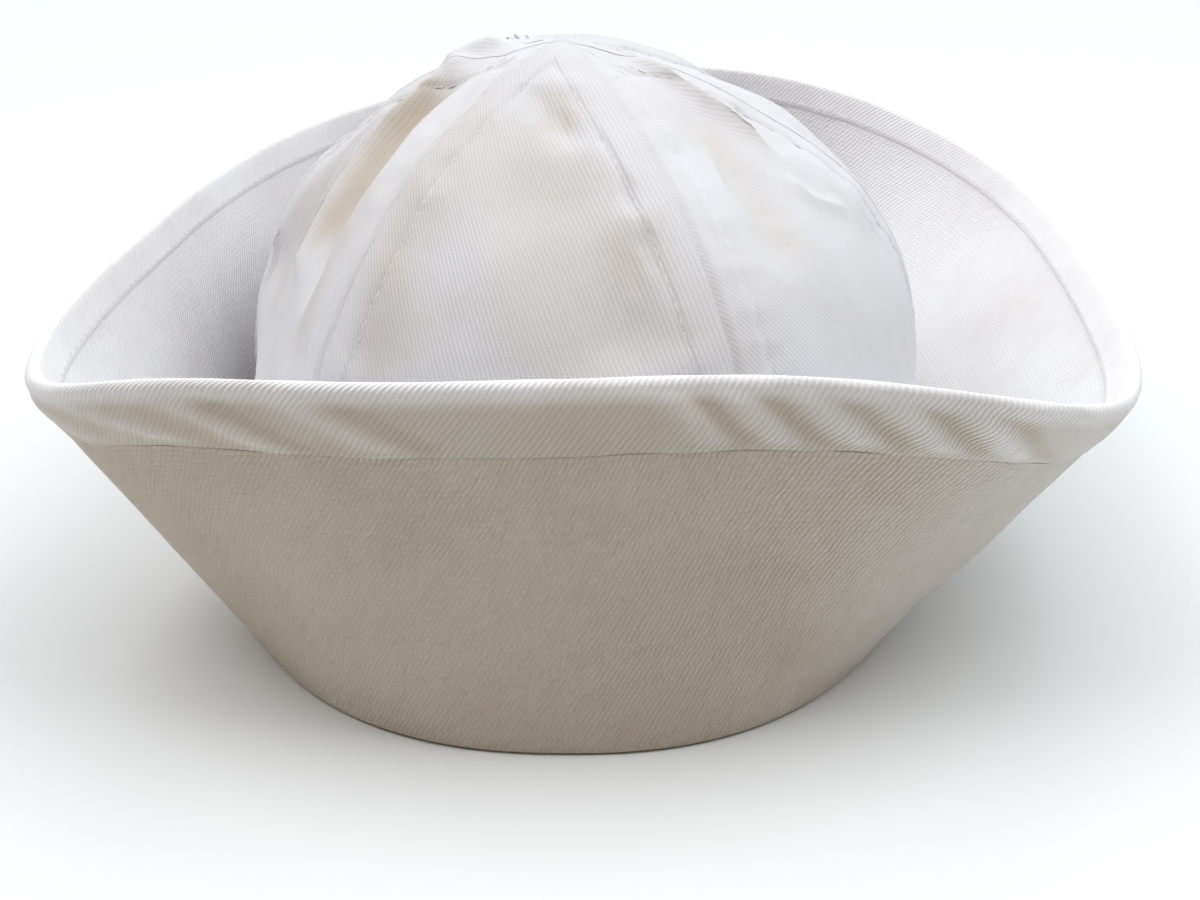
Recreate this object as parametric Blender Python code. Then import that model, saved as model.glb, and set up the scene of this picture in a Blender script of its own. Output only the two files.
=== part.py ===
"""A white cotton sailor cap: a six-panel crown inside a turned-up stitched cuff with a twill edge band.

Metres, +Z up. The cap rests on the flat foot of its cuff, its front faces -Y, and the origin is
the middle of its footprint at the foot.
"""
import math
from collections import namedtuple

import bpy
import numpy as np

COLLECTION_NAME = "sailor_cap"

# Driving sizes, in metres
FOOT_HALF_WIDTH = 0.0775
FOOT_HALF_LENGTH = 0.106
CUFF_HEIGHT = 0.074
CUFF_BOW = 0.0012
FOOT_TURN = 0.004
TONGUE_CLOTH = 0.0008
BAND_DEPTH = 0.0137
BAND_PLY = 0.001
BAND_PILLOW = 0.0005
BAND_CREASE = 0.0009
HEM_STEP = 0.0005
CROWN_HEIGHT = 0.109
CROWN_CLOTH = 0.0015
CROWN_TIP_RADIUS = 0.001
APEX_SHIFT_X = -0.0027
APEX_SHIFT_Y = -0.002
PANEL_SAG = 0.0012
SEAM_LAP_WIDTH = 0.008
SEAM_LAP_RISE = 0.0005
CLOTH_GAP = 0.0003
CONTACT_SOFTNESS = 0.0004

# The cuff's wall is as thick as the band's two plies with the cuff's tongue between them
CUFF_WALL = TONGUE_CLOTH + 2.0 * (BAND_PLY + CLOTH_GAP)

# Shape numbers that have no unit
OVAL_POWER = 2.35
HEM_SHARE = 0.577
RISE_POWER = 0.667
CLIMB_POWER = 1.5
PANEL_COUNT = 6
FRONT_SEAM_SHARE = 0.065
HOLD_SHARE = 0.08

# How finely the surfaces are cut
FRONT_ZONE_SHARE = 0.2
FRONT_STATIONS = 72
REAR_STATIONS = 48
PANEL_COLUMNS = 12
PANEL_ROWS = 14
OUTLINE_SAMPLES = 1440
NORMAL_STEP = 0.002
SHARP_ANGLE_DEG = 50.0

# Angles run round the cap from its front, positive towards +X.
# The cuff leans outwards by lean_deg, and its height is a share of CUFF_HEIGHT.
CuffRow = namedtuple("CuffRow", "angle_deg lean_deg height_share")
CUFF_ROWS = (
    CuffRow(-180, 8, 1.020),
    CuffRow(-150, 1, 1.008),
    CuffRow(-120, 5, 0.990),
    CuffRow(-90, 14, 0.985),
    CuffRow(-75, 23, 0.988),
    CuffRow(-60, 31, 0.992),
    CuffRow(-45, 19, 1.018),
    CuffRow(-30, 7, 1.022),
    CuffRow(0, -5, 1.022),
    CuffRow(30, 3, 1.014),
    CuffRow(45, 20, 1.005),
    CuffRow(60, 35, 0.975),
    CuffRow(90, 39, 0.958),
    CuffRow(120, 38, 1.005),
    CuffRow(150, 23, 1.036),
)

# The crown draws in towards its apex: a larger power draws in sooner, and the bulge,
# a share of the foot's size, swells the middle of its height.
CrownRow = namedtuple("CrownRow", "angle_deg draw_in_power bulge_share")
CROWN_ROWS = (
    CrownRow(-180, 1.09, -0.14),
    CrownRow(-90, 1.30, -0.01),
    CrownRow(0, 1.14, 0.02),
    CrownRow(90, 1.22, 0.20),
)

# Folds and dents of the crown. A fold runs between two points, each an angle and a climb
# (0 at the foot, 1 at the apex). Its half width is a share of the way from foot to apex,
# its rise a share of CROWN_HEIGHT, negative where the cloth falls in.
CrownFold = namedtuple("CrownFold", "angle_a climb_a angle_b climb_b half_width rise")
CROWN_FOLDS = (
    CrownFold(-72, 0.86, -58, 0.50, 0.036, -0.050),
    CrownFold(-98, 0.84, -78, 0.46, 0.026, 0.020),
    CrownFold(-10, 0.87, 4, 0.80, 0.024, -0.020),
    CrownFold(-2, 0.74, 10, 0.56, 0.060, -0.020),
    CrownFold(-27, 0.64, -31, 0.44, 0.050, -0.014),
    CrownFold(38, 0.84, 46, 0.60, 0.042, -0.024),
    CrownFold(60, 0.86, 70, 0.62, 0.030, 0.018),
    CrownFold(118, 0.80, 132, 0.52, 0.055, -0.018),
    CrownFold(-150, 0.80, -138, 0.50, 0.055, -0.018),
)

# Creases of the edge band, each leaning from its top to its foot. Their half width is a share
# of BAND_DEPTH, their rise a share of BAND_CREASE.
BandCrease = namedtuple("BandCrease", "top_deg foot_deg half_width rise")
BAND_CREASES = (
    BandCrease(-62, -50, 0.16, 0.6),
    BandCrease(-54, -40, 0.16, 0.8),
    BandCrease(-46, -29, 0.16, 1.0),
    BandCrease(-34, -14, 0.16, 0.9),
    BandCrease(14, 21, 0.20, 0.7),
    BandCrease(21, 29, 0.20, 1.0),
    BandCrease(29, 37, 0.20, 1.0),
    BandCrease(37, 45, 0.20, 1.0),
    BandCrease(46, 53, 0.20, 0.8),
)

# Levels of the cuff's plain wall, as shares of the wall below the band
WALL_LEVELS = (0.0, 0.3, 0.65, 1.0)
# Levels of the band's outer leg, as shares of the leg below its rolled edge
BAND_LEVELS = (0.0, 0.35, 0.7)
BAND_ROLL_DEGREES = (0, 45, 90, 135, 180)

Finish = namedtuple("Finish", "name color roughness")
STITCHED_COTTON = Finish("stitched_cotton", (0.80, 0.78, 0.74), 0.9)
BAND_COTTON = Finish("band_cotton", (0.84, 0.82, 0.78), 0.85)
CROWN_COTTON = Finish("crown_cotton", (0.84, 0.82, 0.79), 0.85)


def closed_curve(angles_deg, values):
    """A smooth closed curve through values given at angles round the cap."""
    knots = np.radians(np.append(angles_deg, angles_deg[0] + 360.0))
    heights = np.append(values, values[0])
    steps = np.diff(knots)
    slopes = np.diff(heights) / steps
    count = len(values)
    system = np.zeros((count, count))
    target = np.zeros(count)
    for index in range(count):
        before = index - 1
        after = (index + 1) % count
        system[index, before] += 1.0 / steps[before]
        system[index, index] += 2.0 / steps[before] + 2.0 / steps[index]
        system[index, after] += 1.0 / steps[index]
        target[index] = 3.0 * (slopes[before] / steps[before] + slopes[index] / steps[index])
    tangents = np.linalg.solve(system, target)
    tangents = np.append(tangents, tangents[0])

    def value_at(angle):
        turned = knots[0] + np.mod(np.asarray(angle, float) - knots[0], 2.0 * math.pi)
        place = np.clip(np.searchsorted(knots, turned, side="right") - 1, 0, count - 1)
        share = (turned - knots[place]) / steps[place]
        rest = 1.0 - share
        return (heights[place] * rest**2 * (1.0 + 2.0 * share)
                + heights[place + 1] * share**2 * (3.0 - 2.0 * share)
                + steps[place] * share * rest * (tangents[place] * rest - tangents[place + 1] * share))

    return value_at


def column(rows, name):
    """One named column of a table as a closed curve."""
    return closed_curve([row.angle_deg for row in rows], [getattr(row, name) for row in rows])


CUFF_LEAN = column(CUFF_ROWS, "lean_deg")
CUFF_SHARE = column(CUFF_ROWS, "height_share")
DRAW_IN = column(CROWN_ROWS, "draw_in_power")
BULGE = column(CROWN_ROWS, "bulge_share")


def signed_power(value, power):
    """A power of a value's size, with the value's own sign."""
    return np.sign(value) * np.abs(value) ** power


def foot_outline(angle):
    """Point and outward normal of the cuff's outer foot line, a rounded oval."""
    power = 2.0 / OVAL_POWER
    sine, cosine = np.sin(angle), np.cos(angle)
    flat = np.zeros_like(sine)
    point = np.stack([FOOT_HALF_WIDTH * signed_power(sine, power),
                      -FOOT_HALF_LENGTH * signed_power(cosine, power), flat], axis=-1)
    normal = np.stack([FOOT_HALF_LENGTH * sine, -FOOT_HALF_WIDTH * cosine, flat], axis=-1)
    return point, normal / np.linalg.norm(normal, axis=-1, keepdims=True)


def angle_at_share():
    """A function from a share of the foot line's length, from the front, to its angle."""
    angles = np.linspace(-math.pi, math.pi, OUTLINE_SAMPLES + 1)
    points = foot_outline(angles)[0]
    lengths = np.concatenate([[0.0], np.cumsum(np.linalg.norm(np.diff(points, axis=0), axis=1))])
    shares = lengths / lengths[-1] - 0.5

    def angle(share):
        turns = np.floor(np.asarray(share, float) + 0.5)
        return np.interp(share - turns, shares, angles) + turns * 2.0 * math.pi

    return angle


ANGLE_AT = angle_at_share()


def cuff_point(angle, along, inward):
    """Point of the cuff, a way up its slope from the foot and a way in from its outer face."""
    point, normal = foot_outline(angle)
    lean = np.radians(CUFF_LEAN(angle))
    slope = normal * np.sin(lean)[..., None]
    slope[..., 2] = np.cos(lean)
    face = normal * np.cos(lean)[..., None]
    face[..., 2] = -np.sin(lean)
    flat_part = np.clip(1.0 - along / FOOT_TURN, 0.0, 1.0)
    face = face + (normal - face) * np.asarray(flat_part)[..., None]
    bow = CUFF_BOW * np.sin(math.pi * np.clip(along / slope_height(angle), 0.0, 1.0))
    out = bow - inward
    return point + slope * np.asarray(along)[..., None] + face * np.asarray(out)[..., None]


def slope_height(angle):
    """Height of the cuff along its slope, to the top of the band."""
    return CUFF_HEIGHT * CUFF_SHARE(angle)


def station_angles():
    """Angles of the cuff's sections, close together at the front, where the band is creased."""
    front = np.linspace(-FRONT_ZONE_SHARE, FRONT_ZONE_SHARE, FRONT_STATIONS, endpoint=False)
    rear = np.linspace(FRONT_ZONE_SHARE, 1.0 - FRONT_ZONE_SHARE, REAR_STATIONS, endpoint=False)
    return ANGLE_AT(np.concatenate([front, rear]))


def cuff_sections(angles):
    """Closed sections of the cuff: a thick wall whose top thins to a tongue inside the band."""
    height = slope_height(angles)
    shoulder = height - BAND_DEPTH - CLOTH_GAP
    tongue_top = height - BAND_PLY - CLOTH_GAP
    tongue_outer = BAND_PLY + CLOTH_GAP
    tongue_inner = CUFF_WALL - BAND_PLY - CLOTH_GAP
    outer = [cuff_point(angles, shoulder * level, 0.0) for level in WALL_LEVELS]
    inner = [cuff_point(angles, shoulder * level, CUFF_WALL) for level in WALL_LEVELS]
    tongue = [cuff_point(angles, shoulder, tongue_outer), cuff_point(angles, tongue_top, tongue_outer),
              cuff_point(angles, tongue_top, tongue_inner), cuff_point(angles, shoulder, tongue_inner)]
    return np.stack(outer + tongue + inner[::-1], axis=1)


def crease_rise(angles, share_down):
    """How far the band's creases stand out, at a share of the way from its top to its foot."""
    points = foot_outline(angles)[0]
    total = np.zeros_like(angles)
    for crease in BAND_CREASES:
        middle = np.radians(crease.top_deg + (crease.foot_deg - crease.top_deg) * share_down)
        away = np.linalg.norm(points - foot_outline(middle)[0], axis=-1)
        total += crease.rise * np.exp(-(away / (crease.half_width * BAND_DEPTH)) ** 2)
    return BAND_CREASE * total * math.sin(math.pi * share_down)


def band_sections(angles):
    """Closed sections of the edge band, folded over the cuff's top, with its hem turned inside."""
    height = slope_height(angles)
    roll = CUFF_WALL / 2.0
    foot = height - BAND_DEPTH
    leg = BAND_DEPTH - roll
    points = []
    for level in BAND_LEVELS:
        puff = BAND_PILLOW * math.sin(math.pi * level) + crease_rise(angles, 1.0 - level)
        points.append(cuff_point(angles, foot + leg * level, -puff))
    for degrees in BAND_ROLL_DEGREES:
        turn = math.radians(degrees)
        inward = roll - roll * math.cos(turn)
        points.append(cuff_point(angles, height - roll + roll * math.sin(turn), inward))
    hem = height - HEM_SHARE * BAND_DEPTH
    points.append(cuff_point(angles, hem, CUFF_WALL + HEM_STEP))
    points.append(cuff_point(angles, hem - HEM_STEP, CUFF_WALL))
    points.append(cuff_point(angles, foot, CUFF_WALL))
    points.append(cuff_point(angles, foot, CUFF_WALL - BAND_PLY))
    points.append(cuff_point(angles, height - BAND_PLY, CUFF_WALL - BAND_PLY))
    points.append(cuff_point(angles, height - BAND_PLY, BAND_PLY))
    points.append(cuff_point(angles, foot, BAND_PLY))
    return np.stack(points, axis=1)


def crown_base_face(angle, climb):
    """Point of the crown's outer face before its folds."""
    turn = (climb**CLIMB_POWER) * math.pi / 2.0
    rise = np.sin(turn) ** RISE_POWER
    drawn = np.cos(turn) ** DRAW_IN(angle) * (1.0 + BULGE(angle) * np.sin(2.0 * turn))
    point, normal = foot_outline(angle)
    point = point - normal * (CUFF_WALL + CLOTH_GAP)
    lift = CLOTH_GAP + (CROWN_HEIGHT - CLOTH_GAP) * rise
    return np.stack([point[..., 0] * drawn + APEX_SHIFT_X * rise,
                     point[..., 1] * drawn + APEX_SHIFT_Y * rise, lift], axis=-1)


def surface_normal(surface, angle, climb):
    """Outward normal of a crown surface, from small steps round it and up it."""
    low = np.minimum(climb, 1.0 - 2.0 * NORMAL_STEP)
    round_it = surface(angle + NORMAL_STEP, low) - surface(angle - NORMAL_STEP, low)
    up_it = surface(angle, low + NORMAL_STEP) - surface(angle, np.maximum(low - NORMAL_STEP, 0.0))
    normal = np.cross(round_it, up_it)
    return normal / np.linalg.norm(normal, axis=-1, keepdims=True)


def on_map(angle, climb):
    """The crown laid flat: the apex in the middle, the foot on a circle of radius one."""
    reach = 1.0 - climb
    return np.stack([reach * np.sin(angle), -reach * np.cos(angle)], axis=-1)


def fold_rise(angle, climb):
    """How far the crown's folds and dents stand out at a point."""
    place = on_map(angle, climb)
    total = np.zeros(place.shape[:-1])
    for fold in CROWN_FOLDS:
        start = on_map(math.radians(fold.angle_a), fold.climb_a)
        way = on_map(math.radians(fold.angle_b), fold.climb_b) - start
        share = np.clip(((place - start) @ way) / (way @ way), 0.0, 1.0)
        away = np.linalg.norm(place - start - share[..., None] * way, axis=-1)
        total += fold.rise * CROWN_HEIGHT * np.exp(-(away / fold.half_width) ** 2)
    return total


def panel_rise(across, climb, width):
    """Sag of a panel between its seams, and the raised laps that run along them."""
    sag = -PANEL_SAG * np.sin(math.pi * across) * np.sin(math.pi * climb)
    from_seam = np.minimum(across, 1.0 - across) * width
    lap = np.clip((SEAM_LAP_WIDTH - from_seam) / SEAM_LAP_RISE, 0.0, 1.0)
    return sag + SEAM_LAP_RISE * lap


def keep_inside_cuff(point, angle):
    """Where the cuff leans in against the crown, the crown's cloth gives way."""
    foot, normal = foot_outline(angle)
    lean = np.radians(CUFF_LEAN(angle))
    crown_out = np.sum((point - foot) * normal, axis=-1)
    cuff_out = point[..., 2] * np.tan(lean) - CUFF_WALL / np.cos(lean) - CLOTH_GAP
    below_rim = point[..., 2] < CUFF_HEIGHT
    excess = crown_out - cuff_out
    push = 0.5 * (excess + np.sqrt(excess**2 + CONTACT_SOFTNESS**2))
    return point - normal * np.where(below_rim, push, 0.0)[..., None]


def crown_face(angle, climb):
    """Point of the crown's outer face with its folds and dents."""
    normal = surface_normal(crown_base_face, angle, climb)
    rise = fold_rise(angle, climb) * foot_fade(climb)
    return crown_base_face(angle, climb) + normal * rise[..., None]


def foot_fade(climb):
    """Nothing stands out at the foot line, which the cuff holds."""
    return np.minimum(climb / HOLD_SHARE, 1.0)


def crown_panel_points(index):
    """Outer and inner grids of a crown panel, a gore, and the two ends of its tip.

    The wall is laid inwards along the whole crown's normals, so the edges of two neighbours
    stay parallel at their seam.
    """
    left = ANGLE_AT(FRONT_SEAM_SHARE + index / PANEL_COUNT)
    right = ANGLE_AT(FRONT_SEAM_SHARE + (index + 1) / PANEL_COUNT)
    middle_angle = 0.5 * (left + right)
    climbs = np.linspace(0.0, 1.0, PANEL_ROWS + 1)[:-1]
    across, climb = np.meshgrid(np.linspace(0.0, 1.0, PANEL_COLUMNS + 1), climbs)
    reach = np.linalg.norm(crown_base_face(middle_angle + 0.0 * climb, climb)[..., :2], axis=-1)
    trim = 0.5 * CLOTH_GAP / reach
    angle = (left + trim) + (right - left - 2.0 * trim) * across
    normal = surface_normal(crown_face, angle, climb)
    rise = panel_rise(across, climb, reach * (right - left)) * foot_fade(climb)
    outer = keep_inside_cuff(crown_face(angle, climb) + normal * rise[..., None], angle)
    inner = outer - normal * CROWN_CLOTH
    apex = crown_base_face(np.array(middle_angle), np.array(1.0))
    tip = apex + CROWN_TIP_RADIUS * np.array([math.sin(middle_angle), -math.cos(middle_angle), 0.0])
    return outer, inner, tip, tip - np.array([0.0, 0.0, CROWN_CLOTH])


def grid_faces(rows, columns, start, outwards):
    """Quads of a grid whose points are numbered row by row from a start."""
    faces = []
    for row in range(rows - 1):
        for place in range(columns - 1):
            corner = start + row * columns + place
            face = (corner, corner + 1, corner + columns + 1, corner + columns)
            faces.append(face if outwards else face[::-1])
    return faces


def panel_object(name, index, material, middle):
    """A crown panel: two faces of a wall of cloth, closed round their edge."""
    outer, inner, outer_tip, inner_tip = crown_panel_points(index)
    rows, columns = outer.shape[:2]
    count = rows * columns
    points = np.concatenate([outer.reshape(-1, 3), inner.reshape(-1, 3), [outer_tip, inner_tip]])
    outer_end, inner_end = 2 * count, 2 * count + 1
    faces = grid_faces(rows, columns, 0, True) + grid_faces(rows, columns, count, False)
    last = count - columns
    for place in range(last, last + columns - 1):
        faces.append((place, place + 1, outer_end))
        faces.append((count + place + 1, count + place, inner_end))
    rim = list(range(columns))
    rim += [row * columns + columns - 1 for row in range(1, rows)]
    rim.append(outer_end)
    rim += [row * columns for row in range(rows - 1, 0, -1)]
    for here, after in zip(rim, rim[1:] + rim[:1]):
        below = inner_end if here == outer_end else here + count
        below_after = inner_end if after == outer_end else after + count
        faces.append((after, here, below, below_after))
    return new_object(name, points - middle, faces, material)


def ring_object(name, sections, material, middle):
    """A closed ring lofted through closed sections."""
    stations, corners = sections.shape[:2]
    faces = []
    for station in range(stations):
        following = (station + 1) % stations
        for corner in range(corners):
            beside = (corner + 1) % corners
            faces.append((station * corners + corner, following * corners + corner,
                          following * corners + beside, station * corners + beside))
    return new_object(name, sections.reshape(-1, 3) - middle, faces, material)


def new_object(name, points, faces, material):
    """A mesh object with smooth shading, in the cap's collection."""
    mesh = bpy.data.meshes.new(name)
    mesh.from_pydata(points.tolist(), [], faces)
    mesh.materials.append(material)
    mesh.shade_smooth()
    mesh.set_sharp_from_angle(angle=math.radians(SHARP_ANGLE_DEG))
    part = bpy.data.objects.new(name, mesh)
    bpy.data.collections[COLLECTION_NAME].objects.link(part)
    return part


def cotton(finish):
    """A cotton material with the colour and roughness of its finish."""
    material = bpy.data.materials.new(finish.name)
    material.use_nodes = True
    shader = material.node_tree.nodes["Principled BSDF"]
    shader.inputs["Base Color"].default_value = (*finish.color, 1.0)
    shader.inputs["Roughness"].default_value = finish.roughness
    shader.inputs["Metallic"].default_value = 0.0
    return material


def clear_scene():
    for old in list(bpy.data.objects):
        bpy.data.objects.remove(old, do_unlink=True)


def build_cap():
    """Build the cuff, its edge band and the six crown panels."""
    clear_scene()
    collection = bpy.data.collections.new(COLLECTION_NAME)
    bpy.context.scene.collection.children.link(collection)
    holder = bpy.data.objects.new("cap_frame", None)
    collection.objects.link(holder)

    angles = station_angles()
    cuff = cuff_sections(angles)
    band = band_sections(angles)
    plan = np.concatenate([cuff.reshape(-1, 3), band.reshape(-1, 3)])
    middle = 0.5 * (plan.min(axis=0) + plan.max(axis=0))
    middle[2] = 0.0

    parts = [ring_object("cuff", cuff, cotton(STITCHED_COTTON), middle),
             ring_object("edge_band", band, cotton(BAND_COTTON), middle)]
    crown_cotton = cotton(CROWN_COTTON)
    for index in range(PANEL_COUNT):
        parts.append(panel_object(f"crown_panel_{index + 1}", index, crown_cotton, middle))
    for part in parts:
        part.parent = holder


build_cap()
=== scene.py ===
# %% [markdown]
# # A white sailor cap, dressed around its imported model
# The cap is a dome of six cotton gores inside a tall cuff that is turned up all round, with a strip
# of twill folded over the cuff's top edge. The imported model holds each of them as a plain solid of
# the real size. This lesson gives every solid its cloth: finer folds, laps and stitches in the
# mesh, and weave, quilting, a little soiling and some painted shade in the material.

# %% Load the imported model
import math
from collections import namedtuple

import bpy
import numpy as np
from mathutils import Euler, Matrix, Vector


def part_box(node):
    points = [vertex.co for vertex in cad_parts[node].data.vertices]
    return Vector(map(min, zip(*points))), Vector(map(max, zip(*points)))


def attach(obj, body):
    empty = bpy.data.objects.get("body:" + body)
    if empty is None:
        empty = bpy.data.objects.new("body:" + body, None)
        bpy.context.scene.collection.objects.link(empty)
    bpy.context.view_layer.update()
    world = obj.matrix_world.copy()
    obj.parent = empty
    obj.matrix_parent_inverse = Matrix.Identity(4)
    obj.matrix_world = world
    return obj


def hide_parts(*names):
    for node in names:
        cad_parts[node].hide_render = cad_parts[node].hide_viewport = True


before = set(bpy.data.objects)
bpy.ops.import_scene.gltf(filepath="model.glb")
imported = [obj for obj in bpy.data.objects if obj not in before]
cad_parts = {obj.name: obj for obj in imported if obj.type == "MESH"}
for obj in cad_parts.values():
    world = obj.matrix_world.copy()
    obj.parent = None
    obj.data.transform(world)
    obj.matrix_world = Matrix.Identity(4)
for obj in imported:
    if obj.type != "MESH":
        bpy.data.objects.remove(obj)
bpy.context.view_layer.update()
print("CAD nodes", sorted(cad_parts))

# %% [markdown]
# ## Sizes
# A cap is drafted from a few sizes: the oval that the head needs, the cuff's height and lean, and
# the crown's height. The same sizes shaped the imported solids, so a piece that is built from them
# again lies where its solid is. Lengths are in metres.

# %% The cap's own sizes
FOOT_HALF_WIDTH = 0.0775
FOOT_HALF_LENGTH = 0.106
CUFF_HEIGHT = 0.074
CUFF_BOW = 0.0012
FOOT_TURN = 0.004
FOOT_ROUND = 0.0014
BAND_DEPTH = 0.0137
BAND_PLY = 0.001
BAND_PILLOW = 0.0005
HEM_STEP = 0.00035
CUFF_WALL = 0.0034
CROWN_HEIGHT = 0.109
CROWN_CLOTH = 0.0015
APEX_SHIFT = (-0.0027, -0.002)
PANEL_SAG = 0.0012
CLOTH_GAP = 0.0003
CONTACT_SOFTNESS = 0.0004

OVAL_POWER = 2.35
HEM_SHARE = 0.577
RISE_POWER = 0.667
CLIMB_POWER = 1.5
PANEL_COUNT = 6
FRONT_SEAM_SHARE = 0.065
HOLD_SHARE = 0.08

# Angles run round the cap from its front, positive towards +X
CuffRow = namedtuple("CuffRow", "angle_deg lean_deg height_share")
CUFF_ROWS = (
    CuffRow(-180, 8, 1.020), CuffRow(-150, 1, 1.008), CuffRow(-120, 5, 0.990),
    CuffRow(-90, 14, 0.985), CuffRow(-75, 23, 0.988), CuffRow(-60, 31, 0.992),
    CuffRow(-45, 19, 1.018), CuffRow(-30, 7, 1.022), CuffRow(0, -5, 1.022),
    CuffRow(30, 3, 1.014), CuffRow(45, 20, 1.005), CuffRow(60, 35, 0.975),
    CuffRow(90, 39, 0.958), CuffRow(120, 38, 1.005), CuffRow(150, 23, 1.036),
)
CrownRow = namedtuple("CrownRow", "angle_deg draw_in_power bulge_share")
CROWN_ROWS = (
    CrownRow(-180, 1.09, -0.14), CrownRow(-90, 1.30, -0.01),
    CrownRow(0, 1.14, 0.02), CrownRow(90, 1.22, 0.20),
)
print("sizes for", len(CUFF_ROWS), "cuff rows and", len(CROWN_ROWS), "crown rows")

# %% [markdown]
# ## The camera
# The photograph looks down on the front of the cap from arm's length. The lens was worked out from
# the cap's rim, foot and seams, and it is set before anything is built, so that every step can be
# looked at through it.

# %% Place the camera
CAMERA_PLACE = (0.00483, -0.36815, 0.19796)
CAMERA_DOWN_DEG = 27.48
CAMERA_TURN_DEG = 1.12
LENS_MM = 50.0
SENSOR_MM = 36.0

camera_data = bpy.data.cameras.new("photo_camera")
camera_data.lens = LENS_MM
camera_data.sensor_width = SENSOR_MM
camera = bpy.data.objects.new("photo_camera", camera_data)
camera.location = CAMERA_PLACE
camera.rotation_euler = Euler((math.radians(90.0 - CAMERA_DOWN_DEG), 0.0, math.radians(CAMERA_TURN_DEG)))
bpy.context.scene.collection.objects.link(camera)
bpy.context.scene.camera = camera
print("camera is", round(CAMERA_PLACE[2], 3), "m above the table")

# %% [markdown]
# ## Curves round the cap
# The lean and height of the cuff change slowly round the cap. Each is known at a few angles, and a
# closed cubic curve through them has no kink anywhere, as cloth has none. The oval itself is a
# superellipse: a little squarer than an ellipse, like a head band.

# %% Closed curves and the foot's oval
def closed_curve(angles_deg, values):
    """A smooth closed curve through values given at angles round the cap."""
    knots = np.radians(np.append(angles_deg, angles_deg[0] + 360.0))
    heights = np.append(values, values[0])
    steps = np.diff(knots)
    slopes = np.diff(heights) / steps
    count = len(values)
    system = np.zeros((count, count))
    target = np.zeros(count)
    for index in range(count):
        before = index - 1
        after = (index + 1) % count
        system[index, before] += 1.0 / steps[before]
        system[index, index] += 2.0 / steps[before] + 2.0 / steps[index]
        system[index, after] += 1.0 / steps[index]
        target[index] = 3.0 * (slopes[before] / steps[before] + slopes[index] / steps[index])
    tangents = np.linalg.solve(system, target)
    tangents = np.append(tangents, tangents[0])

    def value_at(angle):
        turned = knots[0] + np.mod(np.asarray(angle, float) - knots[0], 2.0 * math.pi)
        place = np.clip(np.searchsorted(knots, turned, side="right") - 1, 0, count - 1)
        share = (turned - knots[place]) / steps[place]
        rest = 1.0 - share
        return (heights[place] * rest**2 * (1.0 + 2.0 * share)
                + heights[place + 1] * share**2 * (3.0 - 2.0 * share)
                + steps[place] * share * rest * (tangents[place] * rest - tangents[place + 1] * share))

    return value_at


def column(rows, name):
    """One named column of a table as a closed curve."""
    return closed_curve([row.angle_deg for row in rows], [getattr(row, name) for row in rows])


CUFF_LEAN = column(CUFF_ROWS, "lean_deg")
CUFF_SHARE = column(CUFF_ROWS, "height_share")
DRAW_IN = column(CROWN_ROWS, "draw_in_power")
BULGE = column(CROWN_ROWS, "bulge_share")


def signed_power(value, power):
    """A power of a value's size, with the value's own sign."""
    return np.sign(value) * np.abs(value) ** power


def foot_outline(angle):
    """Point and outward normal of the cuff's outer foot line."""
    power = 2.0 / OVAL_POWER
    sine, cosine = np.sin(angle), np.cos(angle)
    flat = np.zeros_like(sine)
    point = np.stack([FOOT_HALF_WIDTH * signed_power(sine, power),
                      -FOOT_HALF_LENGTH * signed_power(cosine, power), flat], axis=-1)
    normal = np.stack([FOOT_HALF_LENGTH * sine, -FOOT_HALF_WIDTH * cosine, flat], axis=-1)
    return point, normal / np.linalg.norm(normal, axis=-1, keepdims=True)


def angle_at_share():
    """A function from a share of the foot line's length, from the front, to its angle."""
    angles = np.linspace(-math.pi, math.pi, 1441)
    lengths = np.linalg.norm(np.diff(foot_outline(angles)[0], axis=0), axis=1)
    shares = np.concatenate([[0.0], np.cumsum(lengths)]) / lengths.sum() - 0.5

    def angle(share):
        turns = np.floor(np.asarray(share, float) + 0.5)
        return np.interp(share - turns, shares, angles) + turns * 2.0 * math.pi

    return angle, lengths.sum()


ANGLE_AT, FOOT_LENGTH = angle_at_share()
print("the foot line is", round(FOOT_LENGTH * 1000), "mm round")

# %% [markdown]
# ## The slanted wall
# Cuff and band share one coordinate: a way up the slope from the foot, and a way in from the outer
# face. With that, a quilted wall, a rolled edge and a hem are all short lists of such pairs.

# %% Points on the cuff
def slope_height(angle):
    """Height of the cuff along its slope, to the top of the band."""
    return CUFF_HEIGHT * CUFF_SHARE(angle)


def cuff_point(angle, along, inward):
    """Point of the cuff, a way up its slope from the foot and a way in from its outer face."""
    point, normal = foot_outline(angle)
    lean = np.radians(CUFF_LEAN(angle))
    slope = normal * np.sin(lean)[..., None]
    slope[..., 2] = np.cos(lean)
    face = normal * np.cos(lean)[..., None]
    face[..., 2] = -np.sin(lean)
    flat_part = np.clip(1.0 - along / FOOT_TURN, 0.0, 1.0)
    face = face + (normal - face) * np.asarray(flat_part)[..., None]
    bow = CUFF_BOW * np.sin(math.pi * np.clip(along / slope_height(angle), 0.0, 1.0))
    out = bow - inward
    return point + slope * np.asarray(along)[..., None] + face * np.asarray(out)[..., None]


def cap_middle():
    """Middle of the rim's plan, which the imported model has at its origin."""
    angles = ANGLE_AT(np.linspace(-0.5, 0.5, 721))
    roll = CUFF_WALL / 2.0
    height = slope_height(angles)
    turns = np.radians(np.arange(0.0, 181.0, 10.0))
    rim = np.stack([cuff_point(angles, height - roll + roll * math.sin(turn), roll - roll * math.cos(turn))
                    for turn in turns])
    corners = rim.reshape(-1, 3)
    middle = 0.5 * (corners.min(axis=0) + corners.max(axis=0))
    band_low, band_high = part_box("edge_band")
    middle[:2] -= 0.5 * np.array([band_low.x + band_high.x, band_low.y + band_high.y])
    middle[2] = 0.0
    return middle


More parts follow.
